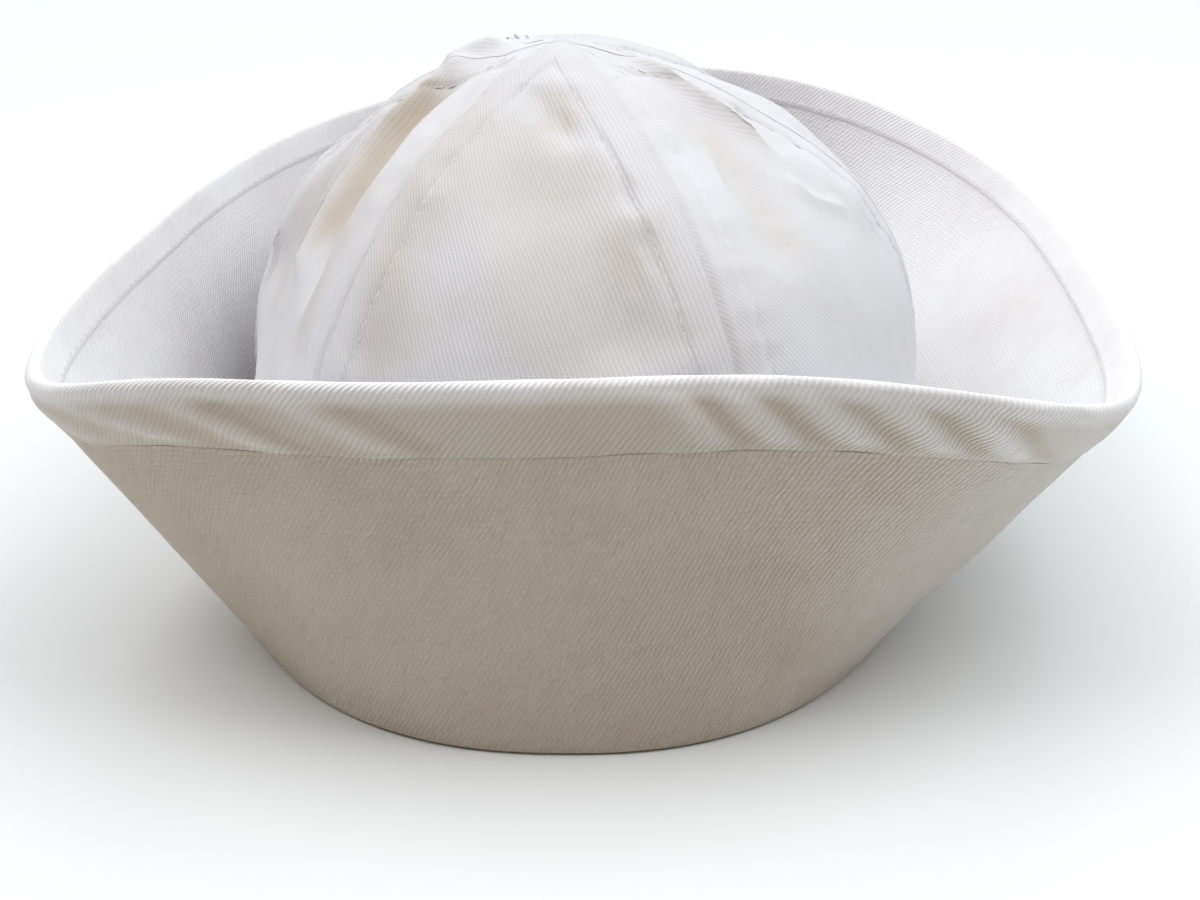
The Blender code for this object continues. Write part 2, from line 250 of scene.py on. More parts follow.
MIDDLE = cap_middle()
print("the oval's centre sits", np.round(MIDDLE * 1000, 2), "mm from the rim's")

# %% [markdown]
# ## Random softness
# Cloth is never quite even. Crossing sine waves in seeded directions give smooth bumps that come
# out the same in every run.

# %% Smooth random bumps
def ripples(points, wavelength, seed, waves=14):
    """Smooth bumps, mostly between -1 and 1, from waves that cross in seeded directions."""
    dice = np.random.default_rng(seed)
    directions = dice.normal(size=(waves, 3))
    directions /= np.linalg.norm(directions, axis=1, keepdims=True)
    stretch = dice.uniform(0.7, 1.4, waves)
    phases = dice.uniform(0.0, 2.0 * math.pi, waves)
    turns = (points @ directions.T) * (stretch * 2.0 * math.pi / wavelength) + phases
    return np.sin(turns).sum(axis=-1) * math.sqrt(2.0 / waves) * 0.6


def smooth_step(value):
    """0 below 0, 1 above 1, and an S curve between."""
    share = np.clip(value, 0.0, 1.0)
    return share * share * (3.0 - 2.0 * share)


# %% [markdown]
# ## Shader helpers
# A material is a small graph. These helpers add a node and join its sockets, so each finish below
# reads as a list of what it does.

# %% Add nodes to a tree
def add_node(tree, kind, settings=None, **inputs):
    """A node with its settings and its inputs, each a value or another node's socket."""
    made = tree.nodes.new(kind)
    for name, value in (settings or {}).items():
        setattr(made, name, value)
    for name, value in inputs.items():
        key = int(name[1:]) if name[0] == "_" else name.replace("_", " ")
        socket = made.inputs[key]
        if isinstance(value, bpy.types.NodeSocket):
            tree.links.new(value, socket)
        else:
            socket.default_value = value
    return made


def sum_up(tree, operation, *values):
    """A Math node's result."""
    inputs = {f"_{index}": value for index, value in enumerate(values)}
    return add_node(tree, "ShaderNodeMath", {"operation": operation}, **inputs).outputs[0]


def blend_colors(tree, share, first, second):
    """A colour between two others."""
    mix = add_node(tree, "ShaderNodeMix", {"data_type": "RGBA"}, _0=share, _6=first, _7=second)
    return mix.outputs[2]


def new_group(name, inputs, outputs):
    """A shader node group with named number, vector or colour sockets."""
    group = bpy.data.node_groups.new(name, "ShaderNodeTree")
    for label, kind, value in inputs:
        socket = group.interface.new_socket(label, in_out="INPUT", socket_type="NodeSocket" + kind)
        if value is not None:
            socket.default_value = value
    for label, kind in outputs:
        group.interface.new_socket(label, in_out="OUTPUT", socket_type="NodeSocket" + kind)
    return group, group.nodes.new("NodeGroupInput"), group.nodes.new("NodeGroupOutput")


# %% [markdown]
# ## Twill
# Cotton twill shows fine ribs on the slant, where each weft thread passes over two warps and steps
# on by one. The group turns the cloth's own flat coordinates to the rib's direction, waves them a
# little, and cuts each rib into short floats.

# %% The twill group
def build_twill_group():
    group, given, result = new_group(
        "cotton twill",
        [("Cloth", "Vector", None), ("Rib Pitch", "Float", 0.001), ("Rib Angle", "Float", 0.0),
         ("Unevenness", "Float", 0.25)],
        [("Height", "Float"), ("Gap", "Float")])
    place = add_node(group, "ShaderNodeSeparateXYZ", _0=given.outputs["Cloth"])
    sine = sum_up(group, "SINE", given.outputs["Rib Angle"])
    cosine = sum_up(group, "COSINE", given.outputs["Rib Angle"])
    across = sum_up(group, "SUBTRACT", sum_up(group, "MULTIPLY", place.outputs[0], sine),
                    sum_up(group, "MULTIPLY", place.outputs[1], cosine))
    along = sum_up(group, "ADD", sum_up(group, "MULTIPLY", place.outputs[0], cosine),
                   sum_up(group, "MULTIPLY", place.outputs[1], sine))
    drift = add_node(group, "ShaderNodeTexNoise", Vector=given.outputs["Cloth"], Scale=170.0, Detail=2.0)
    drift = sum_up(group, "MULTIPLY", sum_up(group, "SUBTRACT", drift.outputs[0], 0.5),
                   given.outputs["Unevenness"])
    ribs = sum_up(group, "ADD", sum_up(group, "DIVIDE", across, given.outputs["Rib Pitch"]),
                  sum_up(group, "MULTIPLY", drift, 2.0))
    rib = sum_up(group, "MULTIPLY_ADD", sum_up(group, "COSINE", sum_up(group, "MULTIPLY", ribs, math.tau)),
                 0.5, 0.5)
    floats = sum_up(group, "ADD", sum_up(group, "DIVIDE", along, given.outputs["Rib Pitch"]),
                    sum_up(group, "MULTIPLY", ribs, 0.5))
    thread = sum_up(group, "MULTIPLY_ADD",
                    sum_up(group, "COSINE", sum_up(group, "MULTIPLY", floats, math.tau)), 0.5, 0.5)
    slub = add_node(group, "ShaderNodeTexNoise", Vector=given.outputs["Cloth"], Scale=900.0, Detail=2.0)
    height = sum_up(group, "ADD", sum_up(group, "MULTIPLY", rib, 0.72), sum_up(group, "MULTIPLY", thread, 0.14))
    height = sum_up(group, "ADD", height, sum_up(group, "MULTIPLY", slub.outputs[0], 0.28))
    gap = sum_up(group, "POWER", sum_up(group, "SUBTRACT", 1.0, rib), 2.5)
    group.links.new(height, result.inputs["Height"])
    group.links.new(gap, result.inputs["Gap"])
    return group


TWILL_GROUP = build_twill_group()
print("group:", TWILL_GROUP.name)

# %% [markdown]
# ## Quilting
# The cuff is several plies held by close rows of small stitches, which break the twill's slanted
# ribs into short raised dashes. The group cuts the slanted ribs at every row, shifts each row a
# little by chance, and dips the cloth along the row itself.

# %% The quilting group
def build_quilting_group():
    group, given, result = new_group(
        "quilted rows",
        [("Cloth", "Vector", None), ("Row Pitch", "Float", 0.0016), ("Dash Pitch", "Float", 0.0014),
         ("Lean", "Float", 0.65)],
        [("Height", "Float"), ("Gap", "Float")])
    place = add_node(group, "ShaderNodeSeparateXYZ", _0=given.outputs["Cloth"])
    sway = add_node(group, "ShaderNodeTexNoise", Vector=given.outputs["Cloth"], Scale=120.0, Detail=3.0)
    sway = sum_up(group, "SUBTRACT", sway.outputs[0], 0.5)
    rows = sum_up(group, "MULTIPLY_ADD", sway, 1.6,
                  sum_up(group, "DIVIDE", place.outputs[1], given.outputs["Row Pitch"]))
    row = sum_up(group, "FLOOR", rows)
    shift = add_node(group, "ShaderNodeTexWhiteNoise", {"noise_dimensions": "1D"}, W=row)
    shift = sum_up(group, "MULTIPLY", shift.outputs[0], 0.28)
    leant = sum_up(group, "SUBTRACT", place.outputs[0],
                   sum_up(group, "MULTIPLY", place.outputs[1], given.outputs["Lean"]))
    dashes = sum_up(group, "ADD", sum_up(group, "DIVIDE", leant, given.outputs["Dash Pitch"]), shift)
    dashes = sum_up(group, "MULTIPLY_ADD", sway, 1.3, dashes)
    dash = sum_up(group, "MULTIPLY_ADD", sum_up(group, "COSINE", sum_up(group, "MULTIPLY", dashes, math.tau)),
                  0.5, 0.5)
    cell = add_node(group, "ShaderNodeCombineXYZ", _0=sum_up(group, "FLOOR", dashes), _1=row)
    chance = add_node(group, "ShaderNodeTexWhiteNoise", {"noise_dimensions": "2D"}, Vector=cell.outputs[0])
    size = sum_up(group, "MULTIPLY_ADD", chance.outputs[0], 0.5, 0.5)
    hump = sum_up(group, "ABSOLUTE", sum_up(group, "SINE", sum_up(group, "MULTIPLY", rows, math.pi)))
    hump = sum_up(group, "POWER", hump, 0.45)
    slub = add_node(group, "ShaderNodeTexNoise", Vector=given.outputs["Cloth"], Scale=1100.0, Detail=2.0)
    raised = sum_up(group, "MULTIPLY", sum_up(group, "MULTIPLY", dash, hump), size)
    height = sum_up(group, "ADD", sum_up(group, "MULTIPLY", raised, 0.8),
                    sum_up(group, "MULTIPLY", slub.outputs[0], 0.3))
    gap = sum_up(group, "POWER", sum_up(group, "SUBTRACT", 1.0, raised), 2.0)
    group.links.new(height, result.inputs["Height"])
    group.links.new(gap, result.inputs["Gap"])
    return group


QUILTING_GROUP = build_quilting_group()
print("group:", QUILTING_GROUP.name)

# %% [markdown]
# ## Soiling and painted shade
# White cotton is soiled in soft random patches. One group mixes a clean colour with a warmer, darker
# one by those patches, and also by a mask that each piece stores, which is painted shade in its
# hollows and on its shaded faces.

# %% The soiling and painted shade group
def build_soil_and_shade_group():
    group, given, result = new_group(
        "soft soiling and painted shade",
        [("Place", "Vector", None), ("Clean", "Color", None), ("Soiled", "Color", None),
         ("Hollow", "Float", 0.0), ("Patch Size", "Float", 0.03), ("Amount", "Float", 0.27)],
        [("Color", "Color"), ("Soil", "Float")])
    scale = sum_up(group, "DIVIDE", 1.0, given.outputs["Patch Size"])
    patches = add_node(group, "ShaderNodeTexNoise", Vector=given.outputs["Place"], Scale=scale, Detail=4.0,
                       Roughness=0.6)
    patches = add_node(group, "ShaderNodeMapRange", _0=patches.outputs[0], _1=0.42, _2=0.72)
    soil_and_shade = sum_up(group, "MULTIPLY", patches.outputs[0], given.outputs["Amount"])
    soil_and_shade = add_node(group, "ShaderNodeMath", {"operation": "ADD", "use_clamp": True}, _0=soil_and_shade,
                    _1=given.outputs["Hollow"])
    color = blend_colors(group, soil_and_shade.outputs[0], given.outputs["Clean"], given.outputs["Soiled"])
    group.links.new(color, result.inputs["Color"])
    group.links.new(soil_and_shade.outputs[0], result.inputs["Soil"])
    return group


SOIL_AND_SHADE_GROUP = build_soil_and_shade_group()
print("group:", SOIL_AND_SHADE_GROUP.name)

# %% [markdown]
# ## Cotton finishes
# All three cloths are the same white cotton. What differs is the relief: the crown's twill runs
# almost down each gore, the band's is cut on the slant, and the cuff's is quilted. The relief goes
# through a Bump node, and the gaps between the ribs are a little darker.

# %% Build a cotton material
CLOTH_LAYER = "cloth"
PAINTED_SHADE_LAYER = "hollow"
PRESSED_LAYER = "pressed"


def cotton_material(name, clean, soiled, weave_group, weave_values, relief, gap_shade, roughness):
    """White cotton with a weave group for its relief, and soiling and painted shade for its colour."""
    material = bpy.data.materials.new(name)
    material.use_nodes = True
    tree = material.node_tree
    shader = tree.nodes["Principled BSDF"]
    cloth = add_node(tree, "ShaderNodeUVMap", {"uv_map": CLOTH_LAYER})
    weave = add_node(tree, "ShaderNodeGroup", {"node_tree": weave_group}, Cloth=cloth.outputs[0], **weave_values)
    place = add_node(tree, "ShaderNodeTexCoord")
    # Painted shade: each piece's mask blends in the darker colour where the cloth should look shaded.
    hollow = add_node(tree, "ShaderNodeAttribute", {"attribute_name": PAINTED_SHADE_LAYER})
    soil_and_shade = add_node(tree, "ShaderNodeGroup", {"node_tree": SOIL_AND_SHADE_GROUP}, Place=place.outputs["Object"],
                    Clean=(*clean, 1.0), Soiled=(*soiled, 1.0), Hollow=hollow.outputs["Fac"])
    pressed = add_node(tree, "ShaderNodeAttribute", {"attribute_name": PRESSED_LAYER})
    standing = sum_up(tree, "SUBTRACT", 1.0, pressed.outputs["Fac"])
    shade = sum_up(tree, "MULTIPLY", sum_up(tree, "MULTIPLY", weave.outputs["Gap"], gap_shade), standing)
    shaded = add_node(tree, "ShaderNodeMix", {"data_type": "RGBA", "blend_type": "MULTIPLY"},
                      _0=shade, _6=soil_and_shade.outputs["Color"], _7=(0.72, 0.70, 0.69, 1.0))
    fuzz = add_node(tree, "ShaderNodeTexNoise", Vector=place.outputs["Object"], Scale=240.0, Detail=3.0)
    soft = add_node(tree, "ShaderNodeBump", {}, Height=fuzz.outputs[0], Strength=0.25, Distance=0.0004)
    bump = add_node(tree, "ShaderNodeBump", {}, Height=weave.outputs["Height"], Strength=standing,
                    Distance=relief, Normal=soft.outputs[0])
    rough = sum_up(tree, "MULTIPLY_ADD", weave.outputs["Gap"], 0.08, roughness)
    tree.links.new(shaded.outputs[2], shader.inputs["Base Color"])
    tree.links.new(rough, shader.inputs["Roughness"])
    tree.links.new(bump.outputs[0], shader.inputs["Normal"])
    shader.inputs["Specular IOR Level"].default_value = 0.25
    shader.inputs["Sheen Weight"].default_value = 0.12
    shader.inputs["Sheen Roughness"].default_value = 0.45
    return material


# The darker colours are mixed in both for random soiling and for painted shade.
CLEAN_WHITE = (0.74, 0.74, 0.76)
CROWN_SOIL_AND_SHADE = (0.57, 0.505, 0.42)
BAND_WHITE = (0.92, 0.915, 0.925)
BAND_SOIL_AND_SHADE = (0.65, 0.595, 0.515)
CUFF_WHITE = (0.93, 0.925, 0.935)
WARM_SOIL_AND_SHADE = (0.68, 0.605, 0.51)

CROWN_TWILL = cotton_material(
    "crown twill cotton", CLEAN_WHITE, CROWN_SOIL_AND_SHADE, TWILL_GROUP,
    {"Rib_Pitch": 0.0009, "Rib_Angle": math.radians(112.0), "Unevenness": 0.08}, 0.00009, 0.26, 0.82)
BAND_TWILL = cotton_material(
    "band twill cotton", BAND_WHITE, BAND_SOIL_AND_SHADE, TWILL_GROUP,
    {"Rib_Pitch": 0.001, "Rib_Angle": math.radians(54.0), "Unevenness": 0.06}, 0.00018, 0.42, 0.8)
QUILTED_COTTON = cotton_material(
    "quilted cuff cotton", CUFF_WHITE, WARM_SOIL_AND_SHADE, QUILTING_GROUP,
    {"Row_Pitch": 0.0012, "Dash_Pitch": 0.00106, "Lean": 0.57}, 0.00033, 0.42, 0.86)
print("cotton finishes:", CROWN_TWILL.name, BAND_TWILL.name, QUILTED_COTTON.name)

# %% [markdown]
# ## Sewing thread
# The stitches are two-ply cotton thread. A wave that climbs along each stitch gives the twist.

# %% The thread material
def thread_material():
    """White cotton thread with a fine twist."""
    material = bpy.data.materials.new("white sewing thread")
    material.use_nodes = True
    tree = material.node_tree
    shader = tree.nodes["Principled BSDF"]
    place = add_node(tree, "ShaderNodeTexCoord")
    twist = add_node(tree, "ShaderNodeTexWave", {"bands_direction": "DIAGONAL"},
                     Vector=place.outputs["Object"], Scale=700.0, Distortion=1.5)
    color = blend_colors(tree, twist.outputs["Fac"], (0.80, 0.80, 0.82, 1.0), (0.92, 0.92, 0.94, 1.0))
    bump = add_node(tree, "ShaderNodeBump", {}, Height=twist.outputs["Fac"], Strength=0.6, Distance=0.0001)
    tree.links.new(color, shader.inputs["Base Color"])
    tree.links.new(bump.outputs[0], shader.inputs["Normal"])
    shader.inputs["Roughness"].default_value = 0.7
    shader.inputs["Sheen Weight"].default_value = 0.1
    return material


THREAD = thread_material()
print("thread finish:", THREAD.name)

# %% [markdown]
# ## From grids of points to cloth
# Every piece here is a grid of points bent into shape: closed rings for the cuff and band, and a
# pointed leaf for each gore. The grid also carries the cloth's flat coordinates in metres as a UV
# map, so weave and quilting follow the cloth and not the room, and two masks: one of painted
# shade, in hollows and on shaded faces, and one of where the weave is pressed flat.

# %% Turn a ring of sections into a mesh
SHARP_DEG = 60.0


def finish_mesh(name, points, faces, uvs, hollow, pressed, material):
    """A smooth mesh object at the origin with its flat cloth coordinates and its two masks."""
    mesh = bpy.data.meshes.new(name)
    mesh.from_pydata((points - MIDDLE).tolist(), [], faces)
    layer = mesh.uv_layers.new(name=CLOTH_LAYER)
    layer.data.foreach_set("uv", np.asarray(uvs, np.float32).ravel())
    for label, values in ((PAINTED_SHADE_LAYER, hollow), (PRESSED_LAYER, pressed)):
        mask = mesh.attributes.new(label, "FLOAT", "POINT")
        mask.data.foreach_set("value", np.asarray(values, np.float32).ravel())
    mesh.materials.append(material)
    mesh.shade_smooth()
    mesh.set_sharp_from_angle(angle=math.radians(SHARP_DEG))
    piece = bpy.data.objects.new(name, mesh)
    bpy.context.scene.collection.objects.link(piece)
    print(name, len(mesh.vertices), "points", sum(len(face) - 2 for face in faces), "triangles")
    return piece


def way_round(ring):
    """Distance walked round a closed ring of points, from its first point back to it."""
    steps = np.linalg.norm(np.roll(ring, -1, axis=0) - ring, axis=1)
    return np.concatenate([[0.0], np.cumsum(steps)])


def outside_shade_share(angle):
    """Painted shade on the cap's outside: most at the front and left, less on the lit right side and the back."""
    right = smooth_step((np.degrees(angle) - 20.0) / 45.0)
    left = smooth_step((-np.degrees(angle) - 90.0) / 60.0)
    return 1.0 - 0.55 * np.maximum(right, left)


def ring_piece(name, sections, way, walk, hollow, pressed, material):
    """A closed ring lofted through closed sections, with the ways round the ring and the section."""
    stations, corners = sections.shape[:2]
    faces = []
    uvs = []
    for station in range(stations):
        following = (station + 1) % stations
        for corner in range(corners):
            beside = (corner + 1) % corners
            faces.append((station * corners + corner, following * corners + corner,
                          following * corners + beside, station * corners + beside))
            uvs += [(way[station], walk[corner]), (way[station + 1], walk[corner]),
                    (way[station + 1], walk[corner + 1]), (way[station], walk[corner + 1])]
    return finish_mesh(name, sections.reshape(-1, 3), faces, uvs, hollow, np.tile(pressed, (stations, 1)),
                       material)


def walk_round(alongs, inwards):
    """Distance walked round a closed section from its first point back to it."""
    steps = np.hypot(np.diff(np.append(alongs, alongs[0])), np.diff(np.append(inwards, inwards[0])))
    return np.concatenate([[0.0], np.cumsum(steps)])


# %% [markdown]
# ## The quilted cuff
# The cuff is a tube of quilted cotton that stands up round the crown. Its foot is a soft fold, its
# top thins to a tongue that the band grips. A lofted ring with close stations is the simplest way
# to keep both faces, and slow ripples stop the wall from looking moulded.

# %% Build the cuff
CUFF_STATIONS = 720
WALL_STEPS = 44
RIPPLE_RISE = 0.0005
EDGE_GAP = 0.00002
# Strength of the painted shade on the outer faces of cuff and band.
OUTSIDE_SHADE = 0.85
INSIDE_PRESSED = 0.4


def cuff_wall_piece():
    """The quilted wall between its foot and the band, and its flat cut."""
    angles = ANGLE_AT(np.arange(CUFF_STATIONS) / CUFF_STATIONS - 0.5)
    height = slope_height(angles)
    shoulder = height - BAND_DEPTH - EDGE_GAP
    inner_shoulder = height - HEM_SHARE * BAND_DEPTH - EDGE_GAP
    tongue_top = height - BAND_PLY - CLOTH_GAP
    grip = BAND_PLY + CLOTH_GAP
    corner = [(FOOT_ROUND * (1.0 - math.sin(turn)), FOOT_ROUND * (1.0 - math.cos(turn)))
              for turn in np.radians((0.0, 30.0, 60.0, 90.0))]
    levels = np.linspace(0.0, 1.0, WALL_STEPS)
    rows = [(along, inward, 0.0) for along, inward in corner[::-1]]
    rows += [(FOOT_ROUND + (shoulder - FOOT_ROUND) * level, 0.0, level) for level in levels[1:]]
    rows += [(shoulder, grip, 1.0), (tongue_top, grip, 1.0), (tongue_top, CUFF_WALL - grip, 1.0),
             (inner_shoulder, CUFF_WALL - grip, 1.0)]
    rows += [(FOOT_ROUND + (inner_shoulder - FOOT_ROUND) * level, CUFF_WALL, level) for level in levels[:0:-1]]
    rows += [(along, CUFF_WALL - inward, 0.0) for along, inward in corner]
    points = []
    for along, inward, level in rows:
        along = along + 0.0 * angles
        base = cuff_point(angles, along, inward + 0.0 * angles)
        swell = math.sin(math.pi * min(level * 1.1, 1.0)) if level < 1.0 else 0.0
        wave = RIPPLE_RISE * swell * ripples(base, 0.045, 11)
        points.append(cuff_point(angles, along, inward - wave))
    alongs = [float(np.mean(along)) for along, inward, level in rows]
    walk = walk_round(alongs, [row[1] for row in rows])
    way = way_round(points[len(corner) + WALL_STEPS // 2])
    inside = np.array([inward > CUFF_WALL / 2.0 for along, inward, level in rows], float)
    # Painted shade on the cuff's outer face, most at the front; the inner face gets none.
    soil_and_shade = OUTSIDE_SHADE * outside_shade_share(angles)[:, None] * (1.0 - inside)
    made = ring_piece("quilted_cuff", np.stack(points, axis=1), way, walk, soil_and_shade, INSIDE_PRESSED * inside,
                      QUILTED_COTTON)
    return made, (float(inner_shoulder.mean()), float(way[-1]))


quilted_cuff, cuff_cut = cuff_wall_piece()
print("the quilted wall is cut", [round(side * 1000) for side in cuff_cut], "mm")

# %% [markdown]
# ## The twill edge band
# A strip of twill is folded over the top of the cuff. Outside it shows one smooth depth, inside it
# shows its hem, turned under and stitched a little below the rim. Sewing it to the flared cuff
# drags it into slanting wrinkles at the front. Each wrinkle is a soft ridge with a narrow trough
# beside it.

# %% Wrinkles of the band
# Each wrinkle leans from its top to its foot. Half widths and rises are in metres.
BandWrinkle = namedtuple("BandWrinkle", "top_deg foot_deg half_width rise")
BAND_WRINKLES = (
    BandWrinkle(-62, -50, 0.0036, 0.0005), BandWrinkle(-54, -40, 0.0036, 0.0006),
    BandWrinkle(-43, -31, 0.0034, 0.0007), BandWrinkle(-38.5, -26, 0.0026, -0.0005),
    BandWrinkle(-31, -17, 0.0034, 0.0006), BandWrinkle(-26, -12, 0.0026, -0.0005),
    BandWrinkle(12, 20, 0.0042, 0.0005), BandWrinkle(16, 24, 0.0030, -0.0005),
    BandWrinkle(20, 28, 0.0040, 0.0007), BandWrinkle(24, 32, 0.0030, -0.0006),
    BandWrinkle(28, 36, 0.0040, 0.0008), BandWrinkle(32, 39.5, 0.0028, -0.0006),
    BandWrinkle(35.5, 43, 0.0038, 0.0008), BandWrinkle(39, 46.5, 0.0026, -0.0006),
    BandWrinkle(42, 50, 0.0034, 0.0007), BandWrinkle(46, 54, 0.0026, -0.0005),
)


def wrinkle_rise(angles, share_down):
    """How far the band's wrinkles stand out, at a share of the way from its top to its foot."""
    points = foot_outline(angles)[0]
    total = np.zeros_like(angles)
    for wrinkle in BAND_WRINKLES:
        middle = np.radians(wrinkle.top_deg + (wrinkle.foot_deg - wrinkle.top_deg) * share_down)
        away = np.linalg.norm(points - foot_outline(middle)[0], axis=-1)
        total += wrinkle.rise * np.exp(-(away / wrinkle.half_width) ** 2)
    fade = smooth_step(share_down / 0.25) * smooth_step((1.0 - share_down) / 0.2)
    return total * fade


print(len(BAND_WRINKLES), "wrinkles")

# %% Build the band
BAND_STATIONS = 960
LEG_STEPS = 16
ROLL_STEPS = 12
STRIP_STEPS = 6
# Below the rim the band's painted shade fades in over this reach, so the lit roll stays bright.
RIM_UNSHADED = 0.0038
WRINKLE_SHADE = 700.0


def band_rows(height):
    """The band's closed section from its outer foot over the rim and back, as along and inward."""
    roll = CUFF_WALL / 2.0
    foot = height - BAND_DEPTH
    leg = BAND_DEPTH - roll
    hem = height - HEM_SHARE * BAND_DEPTH
    lip = 0.1 * BAND_PLY
    rows = [(foot, 0.5 * BAND_PLY, 1.0), (foot + 0.1 * lip, 0.5 * lip, 1.0), (foot + lip, 0.0, 0.96)]
    for step in range(1, LEG_STEPS + 1):
        level = step / LEG_STEPS
        rows.append((foot + lip + (leg - lip) * level, 0.0, 1.0 - level))
    for step in range(1, ROLL_STEPS + 1):
        turn = math.pi * step / ROLL_STEPS
        rows.append((height - roll + roll * math.sin(turn), roll - roll * math.cos(turn), 0.0))
    for step in range(1, STRIP_STEPS + 1):
        level = step / STRIP_STEPS
        rows.append((height - roll + (hem - height + roll) * level, CUFF_WALL + HEM_STEP * level**0.5, 0.0))
    rows += [(hem - 0.25 * HEM_STEP, CUFF_WALL + 0.7 * HEM_STEP, 0.0), (hem, CUFF_WALL + 0.4 * HEM_STEP, 0.0)]
    rows += [(hem, CUFF_WALL - BAND_PLY, 0.0), (height - BAND_PLY, CUFF_WALL - BAND_PLY, 0.0),
             (height - BAND_PLY, BAND_PLY, 0.0), (foot, BAND_PLY, 0.0)]
    return rows


def edge_band_piece():
    """The folded twill strip."""
    angles = ANGLE_AT(np.arange(BAND_STATIONS) / BAND_STATIONS - 0.5)
    rows = band_rows(slope_height(angles))
    points = []
    for along, inward, share_down in rows:
        base = cuff_point(angles, along, inward + 0.0 * angles)
        puff = 0.0 * angles
        if 0.0 < share_down < 1.0:
            puff = BAND_PILLOW * math.sin(math.pi * share_down) + wrinkle_rise(angles, share_down)
        puff = puff + 0.00018 * ripples(base, 0.016, 23) * (1.0 if inward <= BAND_PLY / 2.0 else 0.6)
        outwards = 1.0 if inward < CUFF_WALL / 2.0 else -1.0
        points.append(cuff_point(angles, along, inward - outwards * puff))
    alongs = [float(np.mean(along)) for along, inward, share in rows]
    walk = walk_round(alongs, [inward for along, inward, share in rows])
    way = way_round(points[LEG_STEPS])
    inside = smooth_step(np.array([inward / CUFF_WALL for along, inward, share in rows]))
    depth = [smooth_step(BAND_DEPTH * share / RIM_UNSHADED) for along, inward, share in rows]
    facing = [float(inward <= BAND_PLY / 2.0) for along, inward, share in rows]
    creases = np.stack([wrinkle_rise(angles, share) for along, inward, share in rows], axis=1)
    # Painted shade on the band's outer face: most at the front, darker in the wrinkles' troughs and lighter on their
    # ridges.
    soil_and_shade = OUTSIDE_SHADE * outside_shade_share(angles)[:, None] - WRINKLE_SHADE * creases
    soil_and_shade = np.clip(soil_and_shade, 0.0, 1.0) * np.array(depth) * np.array(facing)
    made = ring_piece("twill_edge_band", np.stack(points, axis=1), way, walk, soil_and_shade, INSIDE_PRESSED * inside,
                      BAND_TWILL)
    return made, (BAND_DEPTH * (1.0 + HEM_SHARE) + CUFF_WALL, float(way[-1]))


twill_edge_band, band_cut = edge_band_piece()
print("the band is cut", [round(side * 1000) for side in band_cut], "mm")

# %% [markdown]
# ## The crown's surface
# Six gores are sewn into a dome that has slumped under its own weight: it sags between the seams,
# and long folds run down from the apex. A fold is a line between two points, each an angle and a
# climb from foot to apex, with a bell-shaped cross-section. Broad folds come first, then the small
# puckers that the sewing leaves.

# %% Folds of the crown
# A fold's places run from its upper end to its lower one, each an angle and a climb. Its half
# widths, towards smaller and towards greater angles, are shares of the way from foot to apex, and
# its rise is a share of the crown's height. A sharpness of 2 is a soft bell, lower is a crease.
CrownFold = namedtuple("CrownFold", "places less more rise sharpness taper", defaults=(2.0, 0.0))
BROAD_FOLDS = (
    CrownFold(((-120, 0.87), (-98, 0.80), (-88, 0.71), (-84, 0.61), (-84, 0.50)), 0.060, 0.034, 0.026),
    CrownFold(((-120, 0.88), (-107, 0.83), (-98, 0.785)), 0.070, 0.026, 0.014, 2.0, 0.2),
    CrownFold(((-96, 0.54), (-90, 0.36)), 0.160, 0.090, 0.036),
    CrownFold(((-10, 0.87), (4, 0.81)), 0.020, 0.018, -0.011),
    CrownFold(((-2, 0.74), (10, 0.56)), 0.060, 0.060, -0.020),
    CrownFold(((-24, 0.62), (-28, 0.44)), 0.060, 0.060, -0.007),
    CrownFold(((66, 0.86), (57, 0.76), (51, 0.67), (44, 0.58)), 0.036, 0.034, -0.019, 2.0, 0.35),
    CrownFold(((84, 0.84), (76, 0.72), (78, 0.60)), 0.036, 0.050, 0.012),
    CrownFold(((118, 0.80), (132, 0.52)), 0.055, 0.055, -0.018),
    CrownFold(((-150, 0.80), (-138, 0.50)), 0.055, 0.055, -0.018),
)
LONG_CREASES = (
    CrownFold(((-88, 0.840), (-78, 0.790), (-72, 0.755), (-67, 0.720), (-63.5, 0.688), (-61, 0.655),
               (-59, 0.620), (-57.5, 0.580), (-56, 0.540), (-55, 0.47)), 0.034, 0.010, -0.034, 1.8, 0.25),
    CrownFold(((-90, 0.835), (-84, 0.790), (-77.5, 0.730), (-72.5, 0.676), (-68, 0.626), (-64, 0.578),
               (-61, 0.530)), 0.018, 0.030, -0.020, 2.0, 0.35),
    CrownFold(((-88, 0.853), (-79, 0.807), (-72, 0.774), (-66.5, 0.740), (-62.5, 0.707), (-59.5, 0.672),
               (-57.5, 0.636), (-56, 0.597), (-54.5, 0.555), (-54, 0.500)), 0.008, 0.020, 0.006, 1.8, 0.25),
    CrownFold(((-98, 0.850), (-90, 0.792), (-84, 0.727), (-79, 0.672), (-75, 0.622), (-71, 0.574),
               (-67, 0.529), (-64, 0.490)), 0.012, 0.012, 0.017, 1.8, 0.12),
    CrownFold(((-99, 0.830), (-92, 0.780), (-86.5, 0.720), (-82.5, 0.660), (-79, 0.610), (-75, 0.562),
               (-72, 0.509)), 0.009, 0.009, -0.013, 2.0, 0.12),
    CrownFold(((-102, 0.835), (-94, 0.795), (-88.5, 0.740), (-85, 0.680), (-82, 0.625), (-79, 0.575),
               (-77, 0.517)), 0.012, 0.010, 0.007, 1.8, 0.12),
    CrownFold(((90, 0.905), (83, 0.878), (77, 0.843), (74, 0.806), (72.5, 0.773), (70.5, 0.736), (69, 0.700)),
              0.010, 0.008, 0.017, 1.4, 0.22),
    CrownFold(((80, 0.770), (76, 0.735), (73, 0.690)), 0.010, 0.020, -0.008, 2.0, 0.2),
    CrownFold(((65, 0.690), (67, 0.645), (74, 0.595)), 0.014, 0.009, 0.010, 1.6, 0.25),
    CrownFold(((66, 0.800), (60, 0.775), (50, 0.736), (45, 0.690)), 0.010, 0.010, 0.004, 2.0, 0.3),
)
